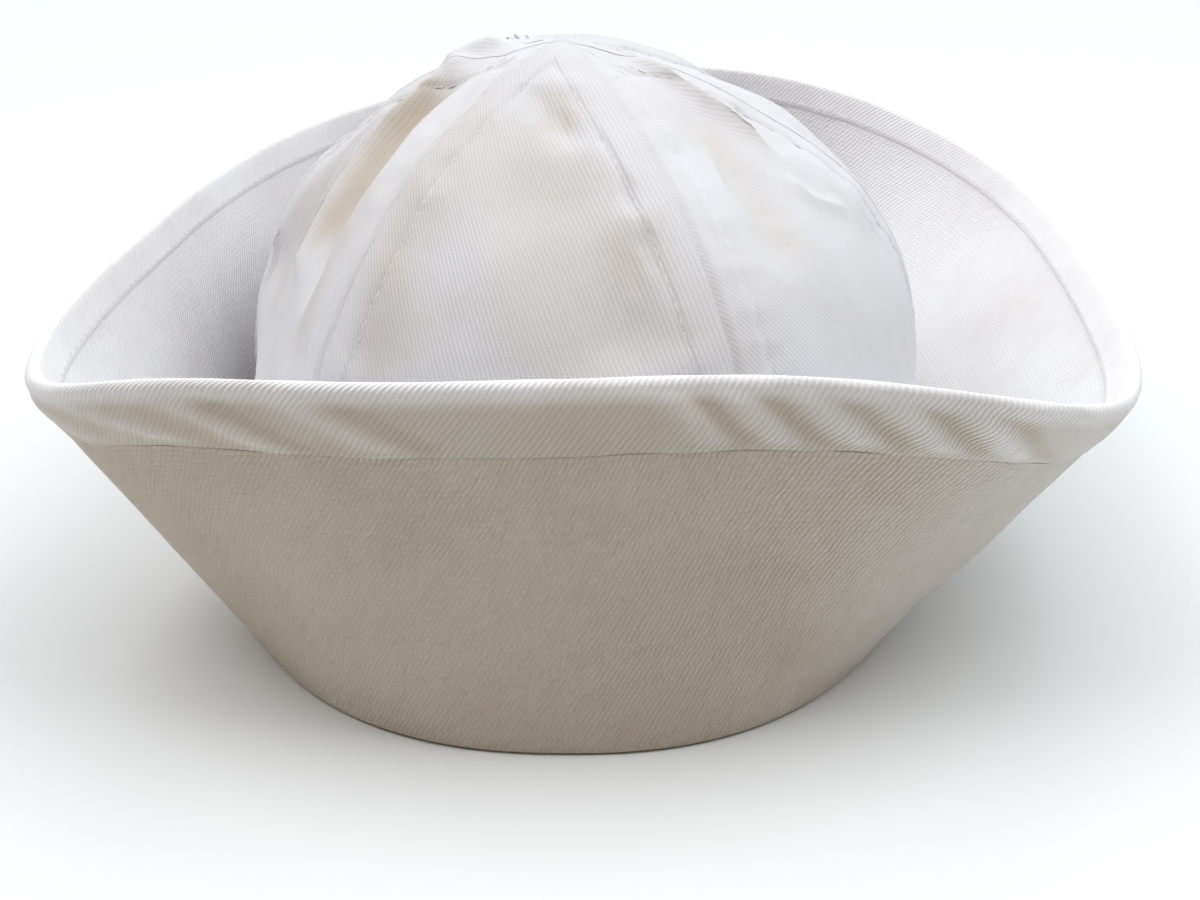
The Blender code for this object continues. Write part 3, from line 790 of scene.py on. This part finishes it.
PUCKERS = (
    CrownFold(((0, 0.86), (3, 0.81)), 0.010, 0.007, -0.004, 2.0, 0.3),
    CrownFold(((15, 0.80), (17, 0.77)), 0.006, 0.006, -0.003), CrownFold(((16, 0.73), (17, 0.70)), 0.006, 0.006, -0.003),
    CrownFold(((17, 0.66), (18, 0.63)), 0.006, 0.006, -0.003), CrownFold(((14, 0.635), (14, 0.61)), 0.009, 0.009, -0.003),
    CrownFold(((19, 0.76), (20, 0.74)), 0.006, 0.006, 0.003), CrownFold(((19, 0.69), (20, 0.67)), 0.006, 0.006, 0.003),
    CrownFold(((-34, 0.74), (-33, 0.70)), 0.009, 0.009, -0.003),
    CrownFold(((42, 0.84), (36, 0.76), (33, 0.68), (31, 0.60)), 0.006, 0.006, -0.002, 2.0, 0.25),
    CrownFold(((-116, 0.89), (-105, 0.86), (-99, 0.82)), 0.014, 0.010, 0.006, 1.8, 0.3),
    CrownFold(((-100, 0.90), (-86, 0.87), (-80, 0.845)), 0.010, 0.010, -0.004, 2.0, 0.3),
)
CROWN_FOLDS = BROAD_FOLDS + LONG_CREASES + PUCKERS
# The same kind of line marks painted shade: a rise of 1 is full painted shade, laid in valleys and dents
CROWN_SHADE_PATCHES = (
    CrownFold(((-88, 0.825), (-82, 0.775), (-77, 0.730), (-73, 0.690), (-70, 0.650), (-67, 0.610),
               (-64.5, 0.570), (-62, 0.53)), 0.030, 0.034, 0.85, 4.0, 0.25),
    CrownFold(((-14, 0.89), (0, 0.86), (6, 0.81)), 0.030, 0.026, 0.28, 2.0, 0.3),
    CrownFold(((-10, 0.76), (0, 0.66), (4, 0.56)), 0.090, 0.080, 0.34),
    CrownFold(((-42, 0.78), (-36, 0.66), (-32, 0.50)), 0.034, 0.070, 0.30),
    CrownFold(((-57, 0.66), (-54, 0.57), (-52, 0.47)), 0.020, 0.030, 0.3),
    CrownFold(((-78, 0.56), (-72, 0.44)), 0.050, 0.040, 0.25),
    CrownFold(((12, 0.66), (14, 0.60)), 0.022, 0.022, 0.2),
    CrownFold(((58, 0.76), (50, 0.64)), 0.030, 0.030, 0.22),
)


def on_map(angle, climb):
    """The crown laid flat: the apex in the middle, the foot on a circle of radius one."""
    reach = 1.0 - climb
    return np.stack([reach * np.sin(angle), -reach * np.cos(angle)], axis=-1)


def fold_shape(fold, place):
    """How far one fold stands out at places on the map."""
    knots = [on_map(math.radians(angle), climb) for angle, climb in fold.places]
    away = np.full(place.shape[:-1], np.inf)
    side = np.zeros_like(away)
    gone = np.zeros_like(away)
    length = 0.0
    for start, end in zip(knots, knots[1:]):
        way = end - start
        size = float(np.hypot(*way))
        share = np.clip(((place - start) @ way) / size**2, 0.0, 1.0)
        offset = place - start - share[..., None] * way
        distance = np.hypot(offset[..., 0], offset[..., 1])
        closer = distance < away
        side = np.where(closer, way[0] * offset[..., 1] - way[1] * offset[..., 0], side)
        gone = np.where(closer, length + share * size, gone)
        away = np.minimum(away, distance)
        length += size
    bell = np.exp(-(away / np.where(side > 0.0, fold.more, fold.less)) ** fold.sharpness)
    if fold.taper > 0.0:
        bell *= smooth_step(gone / (fold.taper * length)) * smooth_step((length - gone) / (fold.taper * length))
    return fold.rise * CROWN_HEIGHT * bell


def fold_rise(angle, climb):
    """How far all the folds and dents together stand out at a point."""
    place = on_map(angle, climb)
    return sum(fold_shape(fold, place) for fold in CROWN_FOLDS)


def painted_shade_share(angle, climb):
    """How much painted shade the crown has at a point, from 0 to 1."""
    place = on_map(angle, climb)
    return np.clip(sum(fold_shape(patch, place) for patch in CROWN_SHADE_PATCHES) / CROWN_HEIGHT, 0.0, 1.0)


print(len(BROAD_FOLDS), "broad folds,", len(LONG_CREASES), "long creases and", len(PUCKERS), "puckers")


# %% Points on the crown
NORMAL_STEP = 0.002
PEAK_RISE = 0.0018
PEAK_REACH = 0.16


def crown_base_face(angle, climb):
    """Point of the crown's outer face before its folds."""
    turn = (climb**CLIMB_POWER) * math.pi / 2.0
    rise = np.sin(turn) ** RISE_POWER
    drawn = np.cos(turn) ** DRAW_IN(angle) * (1.0 + BULGE(angle) * np.sin(2.0 * turn))
    point, normal = foot_outline(angle)
    point = point - normal * (CUFF_WALL + CLOTH_GAP)
    peak = PEAK_RISE * np.clip(1.0 - (1.0 - climb) / PEAK_REACH, 0.0, 1.0) ** 1.5
    lift = CLOTH_GAP + (CROWN_HEIGHT - CLOTH_GAP) * rise + peak
    return np.stack([point[..., 0] * drawn + APEX_SHIFT[0] * rise,
                     point[..., 1] * drawn + APEX_SHIFT[1] * rise, lift], axis=-1)


def surface_normal(surface, angle, climb):
    """Outward normal of a crown surface, from small steps round it and up it."""
    low = np.minimum(climb, 1.0 - 2.0 * NORMAL_STEP)
    round_it = surface(angle + NORMAL_STEP, low) - surface(angle - NORMAL_STEP, low)
    up_it = surface(angle, low + NORMAL_STEP) - surface(angle, np.maximum(low - NORMAL_STEP, 0.0))
    normal = np.cross(round_it, up_it)
    return normal / np.linalg.norm(normal, axis=-1, keepdims=True)


def foot_fade(climb):
    """Nothing stands out at the foot line, which the cuff holds."""
    return np.minimum(climb / HOLD_SHARE, 1.0)


def crown_face(angle, climb):
    """Point of the crown's outer face with its broad and fine folds."""
    normal = surface_normal(crown_base_face, angle, climb)
    rise = fold_rise(angle, climb) * foot_fade(climb)
    return crown_base_face(angle, climb) + normal * rise[..., None]


def keep_inside_cuff(point, angle):
    """Where the cuff leans in against the crown, the crown's cloth gives way."""
    foot, normal = foot_outline(angle)
    lean = np.radians(CUFF_LEAN(angle))
    crown_out = np.sum((point - foot) * normal, axis=-1)
    cuff_out = point[..., 2] * np.tan(lean) - (CUFF_WALL + RIPPLE_RISE) / np.cos(lean) - CLOTH_GAP
    below_rim = point[..., 2] < CUFF_HEIGHT
    excess = crown_out - cuff_out
    push = 0.5 * (excess + np.sqrt(excess**2 + CONTACT_SOFTNESS**2))
    return point - normal * np.where(below_rim, push, 0.0)[..., None]


# %% [markdown]
# ## Laps and puckers beside the seams
# Each crown seam is pressed open and top-stitched on both sides, so the cloth is double for eight
# millimetres beside it. It stands a little higher there, dips under the stitches, and puckers
# where the thread has drawn it in.

# %% Relief beside a seam
LAP_WIDTH = 0.0082
LAP_RISE = 0.0004
LAP_SLOPE = 0.0026
STITCH_LINE = 0.0074
EDGE_ROUND = 0.0005
EDGE_DROP = 0.00035
UNDER_WIDTH = 0.0024
UNDER_DIP = 0.0009
PUCKER_RISE = 0.00022


def seam_relief(from_seam, down, across, step, lies_over, seed):
    """Rise of a gore near its seams: the lap, its edge, the stitch dip and the puckers."""
    lap = LAP_RISE * (1.0 - smooth_step((from_seam - LAP_WIDTH + LAP_SLOPE) / LAP_SLOPE))
    if lies_over:
        short = np.clip(1.0 - from_seam / EDGE_ROUND, 0.0, 1.0)
        edge = -EDGE_DROP * step * (1.0 - np.sqrt(1.0 - short**2))
    else:
        edge = -UNDER_DIP * step * (1.0 - smooth_step(from_seam / UNDER_WIDTH))
    dip = -0.0002 * np.exp(-((from_seam - STITCH_LINE) / 0.0006) ** 2)
    side = np.where(across < 0.5, 0.0, 1.0)
    where = np.stack([down, side, 0.0 * down], axis=-1)
    gather = ripples(where, 0.011, seed) + 0.5 * ripples(where, 0.006, seed + 1)
    puckers = PUCKER_RISE * gather * np.exp(-((from_seam - STITCH_LINE) / 0.0045) ** 2)
    return lap + edge + dip + puckers


# %% [markdown]
# ## The six gores
# A gore's grid has close columns beside its seams, where the relief is fine, and wider ones in the
# middle. The seams of the front gore swing out a little, which leaves it a blunt tip. The inner
# face is laid a cloth's thickness under the outer one, along normals that all the gores share, so
# neighbouring edges stay parallel. All six meet at the apex.

# %% Lay out one gore
GORE_ROWS = 160
EDGE_COLUMNS = 26
FIELD_COLUMNS = 64
EDGE_ZONE = 0.0115
EDGE_CLOSENESS = 1.5
SEAM_GAP = 0.00008
SEAM_STEP = 0.01
TIP_REACH = 0.05
FRONT_GORE = PANEL_COUNT - 1
GORE_PRESSED = {0: 0.5, 1: 0.4, 3: 0.6, 4: 0.3}
# How far a seam swings out sideways, and the climbs between which the swing comes in
SeamSwing = namedtuple("SeamSwing", "shift start end")
SEAM_SWINGS = {0: SeamSwing(0.0020, 0.0, 0.3), FRONT_GORE: SeamSwing(-0.0017, 0.58, 0.76)}


def seam_angle(seam, climb):
    """Angle of a seam at each climb."""
    straight = float(ANGLE_AT(FRONT_SEAM_SHARE + seam / PANEL_COUNT))
    swing = SEAM_SWINGS.get(seam % PANEL_COUNT)
    if swing is None:
        return straight + 0.0 * climb
    angle = straight + 0.0 * climb
    ahead = crown_base_face(angle + SEAM_STEP, climb) - crown_base_face(angle - SEAM_STEP, climb)
    speed = np.linalg.norm(ahead, axis=-1) / (2.0 * SEAM_STEP)
    shift = swing.shift * smooth_step((climb - swing.start) / (swing.end - swing.start))
    shift = shift * smooth_step((1.0 - climb) / TIP_REACH)
    return angle + shift / speed


def half_columns():
    """Column places from the seam: 0 to 1 over the seam's zone, then 1 to 2 to the middle."""
    return np.concatenate([np.linspace(0.0, 1.0, EDGE_COLUMNS + 1)[:-1] ** EDGE_CLOSENESS,
                           np.linspace(1.0, 2.0, FIELD_COLUMNS // 2 + 1)])


def gore_layout(index):
    """Angles, climbs, distances from the left seam, widths and ways down of a gore's grid."""
    climbs = np.linspace(0.0, 1.0, GORE_ROWS + 1)[:-1]
    left = seam_angle(index, climbs)
    right = seam_angle(index + 1, climbs)
    shares = np.linspace(0.0, 1.0, 81)
    sides = left[:, None] + (right - left)[:, None] * shares
    lines = crown_base_face(sides, np.tile(climbs[:, None], (1, 81)))
    steps = np.linalg.norm(np.diff(lines, axis=1), axis=-1)
    walked = np.concatenate([np.zeros((GORE_ROWS, 1)), np.cumsum(steps, axis=1)], axis=1)
    widths = walked[:, -1]
    spine = lines[:, 40]
    down = np.concatenate([[0.0], np.cumsum(np.linalg.norm(np.diff(spine, axis=0), axis=1))])
    half = half_columns()
    zone = np.minimum(EDGE_ZONE, 0.3 * widths)[:, None]
    reach = np.where(half <= 1.0, zone * half, zone + (0.5 * widths[:, None] - zone) * (half - 1.0))
    place = np.concatenate([reach, widths[:, None] - reach[:, -2::-1]], axis=1)
    trimmed = np.clip(place, 0.5 * SEAM_GAP, widths[:, None] - 0.5 * SEAM_GAP)
    angle = np.stack([np.interp(trimmed[row], walked[row], sides[row]) for row in range(GORE_ROWS)])
    climb = np.tile(climbs[:, None], (1, place.shape[1]))
    return angle, climb, place, widths, down


def gore_points(index):
    """Outer and inner grids of a gore, its flat cloth places and its painted shade mask."""
    angle, climb, place, widths, down = gore_layout(index)
    normal = surface_normal(crown_face, angle, climb)
    width = np.tile(widths[:, None], (1, place.shape[1]))
    from_seam = np.minimum(place, width - place)
    across = place / width
    far = np.tile(down[:, None], (1, place.shape[1]))
    sag = -PANEL_SAG * np.sin(math.pi * across) * np.sin(math.pi * climb)
    near_top = smooth_step((1.0 - climb) / 0.06)
    step = 0.12 + 0.88 * smooth_step(2.0 * np.cos(angle))
    relief = seam_relief(from_seam, far, across, step, index % 2 == 1, 40 + 3 * index) * near_top
    rise = (sag + relief) * foot_fade(climb)
    bare = crown_face(angle, climb)
    rise = rise + 0.00025 * ripples(bare, 0.022, 70) * foot_fade(climb) * near_top
    outer = keep_inside_cuff(bare + normal * rise[..., None], angle)
    inner = outer - surface_normal(crown_base_face, angle, climb) * CROWN_CLOTH
    cloth = np.stack([place - 0.5 * width, far], axis=-1)
    return outer, inner, cloth, painted_shade_share(angle, climb), down


# %% Build the gores
def leaf_faces(rows, columns):
    """Quads of the outer and inner grids, the tip's fans and the wall round the edge."""
    count = rows * columns
    outer_end, inner_end = 2 * count, 2 * count + 1
    faces = []
    for row in range(rows - 1):
        for place in range(columns - 1):
            corner = row * columns + place
            face = (corner, corner + 1, corner + columns + 1, corner + columns)
            faces.append(face)
            faces.append(tuple(point + count for point in face[::-1]))
    last = count - columns
    for place in range(last, last + columns - 1):
        faces.append((place, place + 1, outer_end))
        faces.append((count + place + 1, count + place, inner_end))
    rim = list(range(columns))
    rim += [row * columns + columns - 1 for row in range(1, rows)]
    rim.append(outer_end)
    rim += [row * columns for row in range(rows - 1, 0, -1)]
    for here, after in zip(rim, rim[1:] + rim[:1]):
        below = inner_end if here == outer_end else here + count
        below_after = inner_end if after == outer_end else after + count
        faces.append((after, here, below, below_after))
    return faces


def gore_piece(index):
    """A gore with both faces, and what its flat cut measured."""
    outer, inner, cloth, hollow, down = gore_points(index)
    rows, columns = outer.shape[:2]
    apex = crown_base_face(np.array(0.0), np.array(1.0))
    points = np.concatenate([outer.reshape(-1, 3), inner.reshape(-1, 3),
                             [apex, apex - np.array([0.0, 0.0, CROWN_CLOTH])]])
    flat = cloth.reshape(-1, 2)
    tip = np.array([[0.0, down[-1] + np.linalg.norm(outer[-1, columns // 2] - apex)]])
    places = np.concatenate([flat, flat, tip, tip])
    faces = leaf_faces(rows, columns)
    uvs = places[np.concatenate([np.array(face) for face in faces])]
    mask = np.concatenate([hollow.ravel(), hollow.ravel(), [0.0, 0.0]])
    pressed = np.full(len(mask), GORE_PRESSED.get(index, 0.0))
    piece = finish_mesh(f"twill_crown_gore_{index + 1}", points, faces, uvs, mask, pressed, CROWN_TWILL)
    width = float(np.ptp(cloth[..., 0]))
    widths = np.ptp(cloth[..., 0], axis=1)
    area = float(np.sum(0.5 * (widths[1:] + widths[:-1]) * np.diff(down)))
    return piece, (width, float(tip[0, 1])), area


gores = [gore_piece(index) for index in range(PANEL_COUNT)]
for piece, flat, area in gores:
    print(piece.name, "cut", [round(side * 1000) for side in flat], "mm, area", round(area * 1e4), "cm2")

# %% [markdown]
# ## Rows of stitches
# The crown's laps and the band's hem are sewn with straight rows of small stitches. One Geometry
# Nodes tree makes them all: it spaces points along a line of sewing, lays a short arched thread on
# each with a little chance in its turn, and makes the copies real. The line carries the cloth's
# normal, so every stitch lies flat on the cloth.

# %% The tree for a row of stitches
def stitch_tree():
    """Geometry Nodes: a short thread at every stitch of the lines that come in."""
    tree = bpy.data.node_groups.new("rows of stitches", "GeometryNodeTree")
    tree.interface.new_socket("Lines", in_out="INPUT", socket_type="NodeSocketGeometry")
    for label, kind, value in (("Pitch", "Float", 0.003), ("Thread Length", "Float", 0.0021),
                               ("Thread Radius", "Float", 0.0002), ("Looseness", "Float", 0.1),
                               ("Seed", "Int", 5)):
        socket = tree.interface.new_socket(label, in_out="INPUT", socket_type="NodeSocket" + kind)
        socket.default_value = value
    tree.interface.new_socket("Stitches", in_out="OUTPUT", socket_type="NodeSocketGeometry")
    given = tree.nodes.new("NodeGroupInput")
    result = tree.nodes.new("NodeGroupOutput")
    curve = add_node(tree, "GeometryNodeMeshToCurve", _0=given.outputs["Lines"])
    spaced = add_node(tree, "GeometryNodeResampleCurve", {"mode": "LENGTH"}, Curve=curve.outputs[0],
                      Length=given.outputs["Pitch"])
    tangent = add_node(tree, "GeometryNodeInputTangent")
    upright = add_node(tree, "GeometryNodeInputNamedAttribute", {"data_type": "FLOAT_VECTOR"}, Name="cloth_normal")
    lie = add_node(tree, "FunctionNodeAxesToRotation", {"primary_axis": "Z", "secondary_axis": "X"},
                   Primary_Axis=upright.outputs[0], Secondary_Axis=tangent.outputs[0])
    lean = sum_up_geometry(tree, "MULTIPLY", given.outputs["Looseness"], -1.0)
    chance = add_node(tree, "FunctionNodeRandomValue", {"data_type": "FLOAT"}, _2=lean,
                      _3=given.outputs["Looseness"], Seed=given.outputs["Seed"])
    swing = add_node(tree, "ShaderNodeCombineXYZ", _2=chance.outputs[1])
    turned = add_node(tree, "FunctionNodeRotateRotation", {"rotation_space": "LOCAL"}, _0=lie.outputs[0],
                      _1=swing.outputs[0])
    half = sum_up_geometry(tree, "MULTIPLY", given.outputs["Thread Length"], 0.5)
    start = add_node(tree, "ShaderNodeCombineXYZ", _0=sum_up_geometry(tree, "MULTIPLY", half, -1.0),
                     _2=sum_up_geometry(tree, "MULTIPLY", given.outputs["Thread Radius"], -0.8))
    end = add_node(tree, "ShaderNodeCombineXYZ", _0=half,
                   _2=sum_up_geometry(tree, "MULTIPLY", given.outputs["Thread Radius"], -0.8))
    top = add_node(tree, "ShaderNodeCombineXYZ", _2=sum_up_geometry(tree, "MULTIPLY",
                                                                   given.outputs["Thread Radius"], 1.6))
    arc = add_node(tree, "GeometryNodeCurveQuadraticBezier", Resolution=6, Start=start.outputs[0],
                   Middle=top.outputs[0], End=end.outputs[0])
    ring = add_node(tree, "GeometryNodeCurvePrimitiveCircle", {"mode": "RADIUS"}, Resolution=6,
                    Radius=given.outputs["Thread Radius"])
    thread = add_node(tree, "GeometryNodeCurveToMesh", Curve=arc.outputs[0], Profile_Curve=ring.outputs[0])
    thread.inputs["Fill Caps"].default_value = True
    copies = add_node(tree, "GeometryNodeInstanceOnPoints", Points=spaced.outputs[0], Instance=thread.outputs[0],
                      Rotation=turned.outputs[0])
    real = add_node(tree, "GeometryNodeRealizeInstances", _0=copies.outputs[0])
    smooth = add_node(tree, "GeometryNodeSetShadeSmooth", _0=real.outputs[0])
    painted = add_node(tree, "GeometryNodeSetMaterial", Geometry=smooth.outputs[0])
    painted.inputs["Material"].default_value = THREAD
    tree.links.new(painted.outputs[0], result.inputs["Stitches"])
    return tree


def sum_up_geometry(tree, operation, first, second):
    """A Math node's result in a geometry tree."""
    return add_node(tree, "ShaderNodeMath", {"operation": operation}, _0=first, _1=second).outputs[0]


STITCH_TREE = stitch_tree()
print("tree:", STITCH_TREE.name, "with", len(STITCH_TREE.nodes), "nodes")


# %% Turn lines of sewing into stitches
def sewn_lines(name, lines, settings):
    """One plain mesh of stitches along lines, each a list of points and one of cloth normals."""
    mesh = bpy.data.meshes.new(name + "_lines")
    points = np.concatenate([line for line, normals in lines]) - MIDDLE
    normals = np.concatenate([normals for line, normals in lines])
    edges = []
    start = 0
    for line, line_normals in lines:
        edges += [(start + step, start + step + 1) for step in range(len(line) - 1)]
        start += len(line)
    mesh.from_pydata(points.tolist(), edges, [])
    layer = mesh.attributes.new("cloth_normal", "FLOAT_VECTOR", "POINT")
    layer.data.foreach_set("vector", normals.astype(np.float32).ravel())
    source = bpy.data.objects.new(name + "_lines", mesh)
    bpy.context.scene.collection.objects.link(source)
    modifier = source.modifiers.new("stitches", "NODES")
    modifier.node_group = STITCH_TREE
    sockets = {item.name: item.identifier for item in STITCH_TREE.interface.items_tree
               if item.item_type == "SOCKET" and item.in_out == "INPUT"}
    for label, value in settings.items():
        modifier[sockets[label]] = value
    evaluated = source.evaluated_get(bpy.context.evaluated_depsgraph_get())
    made = bpy.data.meshes.new_from_object(evaluated)
    made.name = name
    bpy.data.objects.remove(source, do_unlink=True)
    bpy.data.meshes.remove(mesh)
    piece = bpy.data.objects.new(name, made)
    bpy.context.scene.collection.objects.link(piece)
    made.calc_loop_triangles()
    print(name, len(made.loop_triangles), "triangles")
    return piece


# %% [markdown]
# ## Sewing the crown
# Two rows run beside each seam, one on either lap, from under the cuff's rim to just short of the
# apex, where the gores are too narrow for them.

# %% Stitch the laps of the crown
FIRST_STITCH_CLIMB = 0.30
LAST_STITCH_CLIMB = 0.89
LINE_POINTS = 240


def lap_lines(index):
    """Two lines of sewing on a gore, one beside each of its seams."""
    outer = gore_points(index)[0]
    climb, place, widths = gore_layout(index)[1:4]
    rows = np.flatnonzero((climb[:, 0] >= FIRST_STITCH_CLIMB) & (climb[:, 0] <= LAST_STITCH_CLIMB))
    lines = []
    for from_left in (True, False):
        points, normals = [], []
        for row in rows:
            from_seam = place[row] if from_left else widths[row] - place[row]
            wanted = min(STITCH_LINE, 0.28 * widths[row])
            column_here = int(np.argmin(np.abs(from_seam - wanted)))
            point = outer[row, column_here]
            side = outer[row, min(column_here + 1, outer.shape[1] - 1)] - outer[row, column_here - 1]
            rise = outer[min(row + 1, GORE_ROWS - 1), column_here] - outer[row - 1, column_here]
            normal = np.cross(side, rise)
            points.append(point)
            normals.append(normal / np.linalg.norm(normal))
        lines.append((smooth_line(np.array(points)), np.array(normals)))
    return lines


def smooth_line(points, rounds=4):
    """A line of points with its small steps evened out."""
    for _ in range(rounds):
        points[1:-1] = 0.25 * points[:-2] + 0.5 * points[1:-1] + 0.25 * points[2:]
    return points


crown_lines = [line for index in range(PANEL_COUNT) for line in lap_lines(index)]
crown_stitches = sewn_lines("crown_lap_stitches", crown_lines,
                            {"Pitch": 0.003, "Thread Length": 0.0022, "Thread Radius": 0.00011,
                             "Looseness": 0.12, "Seed": 7})

# %% [markdown]
# ## Sewing the band
# One row holds the band's turned hem on the inside of the cuff, a millimetre above its edge.

# %% Stitch the band's hem
HEM_STITCH_RISE = 0.0011


def hem_line():
    """The line of sewing round the inside of the band, with the cloth's normals."""
    angles = ANGLE_AT(np.linspace(-0.5, 0.5, BAND_STATIONS + 1))
    height = slope_height(angles)
    along = height - HEM_SHARE * BAND_DEPTH + HEM_STITCH_RISE
    points = cuff_point(angles, along, CUFF_WALL + HEM_STEP + 0.0 * angles)
    deeper = cuff_point(angles, along, CUFF_WALL + 2.0 * HEM_STEP + 0.0 * angles)
    normals = deeper - points
    return points, normals / np.linalg.norm(normals, axis=1, keepdims=True)


band_stitches = sewn_lines("band_hem_stitches", [hem_line()],
                           {"Pitch": 0.0026, "Thread Length": 0.0019, "Thread Radius": 0.00009,
                            "Looseness": 0.08, "Seed": 9})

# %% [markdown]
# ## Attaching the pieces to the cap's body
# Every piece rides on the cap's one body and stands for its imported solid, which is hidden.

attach(quilted_cuff, "root")
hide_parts("cuff")

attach(twill_edge_band, "root")
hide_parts("edge_band")
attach(band_stitches, "root")

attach(crown_stitches, "root")
for number, (piece, flat, area) in enumerate(gores, start=1):
    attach(piece, "root")
    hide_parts(f"crown_panel_{number}")
print("declared", 2 + len(gores), "sheets")

# %% [markdown]
# ## Table and light
# The photograph was taken on a glossy white table under bright daylight from above, so the crown
# and the inside of the cuff are pale and cool and the front of the cuff is in warm shade. Large
# soft lamps above, behind and on both sides, and a world that is brighter behind the cap, give
# that. A weak warm lamp in front keeps the shade from going grey.

# %% The table
TABLE_HALF = 12.0


def table_material():
    """Pale lacquer with faint unevenness."""
    material = bpy.data.materials.new("pale table")
    material.use_nodes = True
    tree = material.node_tree
    shader = tree.nodes["Principled BSDF"]
    place = add_node(tree, "ShaderNodeTexCoord")
    cloud = add_node(tree, "ShaderNodeTexNoise", Vector=place.outputs["Object"], Scale=3.0, Detail=2.0)
    color = blend_colors(tree, cloud.outputs[0], (0.83, 0.85, 0.845, 1.0), (0.85, 0.87, 0.865, 1.0))
    tree.links.new(color, shader.inputs["Base Color"])
    shader.inputs["Roughness"].default_value = 0.4
    shader.inputs["Specular IOR Level"].default_value = 0.35
    return material


table_mesh = bpy.data.meshes.new("table")
table_mesh.from_pydata([(-TABLE_HALF, -TABLE_HALF, 0.0), (TABLE_HALF, -TABLE_HALF, 0.0),
                        (TABLE_HALF, TABLE_HALF, 0.0), (-TABLE_HALF, TABLE_HALF, 0.0)], [], [(0, 1, 2, 3)])
table_mesh.materials.append(table_material())
table = bpy.data.objects.new("table", table_mesh)
bpy.context.scene.collection.objects.link(table)
print("table laid")


# %% Lamps and world
def soft_lamp(name, place, size, power, color):
    """A square soft lamp that looks at the middle of the cap."""
    lamp = bpy.data.lights.new(name, "AREA")
    lamp.shape = "SQUARE"
    lamp.size = size
    lamp.energy = power
    lamp.color = color
    holder = bpy.data.objects.new(name, lamp)
    holder.location = place
    holder.rotation_euler = (Vector((0.0, 0.0, 0.05)) - Vector(place)).to_track_quat("-Z", "Y").to_euler()
    bpy.context.scene.collection.objects.link(holder)
    return holder


soft_lamp("overhead", (0.0, -0.2, 3.2), 2.4, 28.0, (0.98, 0.99, 1.0))
soft_lamp("right_window", (1.3, 0.2, 1.8), 1.6, 26.0, (0.95, 0.975, 1.0))
soft_lamp("left_wall", (-1.25, 0.2, 1.85), 1.6, 24.0, (0.99, 0.98, 1.0))
soft_lamp("back_window", (0.1, 1.8, 2.0), 1.8, 13.0, (0.96, 0.98, 1.0))
soft_lamp("warm_front", (-0.2, -1.6, 0.35), 1.0, 1.8, (1.0, 0.62, 0.24))


def daylight_world():
    """A room that is bright and cool behind the cap and dim and warm in front of it."""
    world = bpy.data.worlds.new("room with a window")
    world.use_nodes = True
    tree = world.node_tree
    place = add_node(tree, "ShaderNodeTexCoord")
    parts = add_node(tree, "ShaderNodeSeparateXYZ", _0=place.outputs["Generated"])
    behind = add_node(tree, "ShaderNodeMapRange", {"interpolation_type": "SMOOTHSTEP"}, _0=parts.outputs[1],
                      _1=-0.6, _2=0.2)
    color = blend_colors(tree, behind.outputs[0], ROOM_COLOR, WINDOW_COLOR)
    tree.links.new(color, tree.nodes["Background"].inputs["Color"])
    return world


ROOM_COLOR = (0.05, 0.043, 0.035, 1.0)
WINDOW_COLOR = (0.37, 0.39, 0.43, 1.0)
bpy.context.scene.world = daylight_world()
bpy.context.scene.view_settings.view_transform = "Standard"
bpy.context.scene.view_settings.gamma = 0.94
print("lights:", [light.name for light in bpy.data.lights])
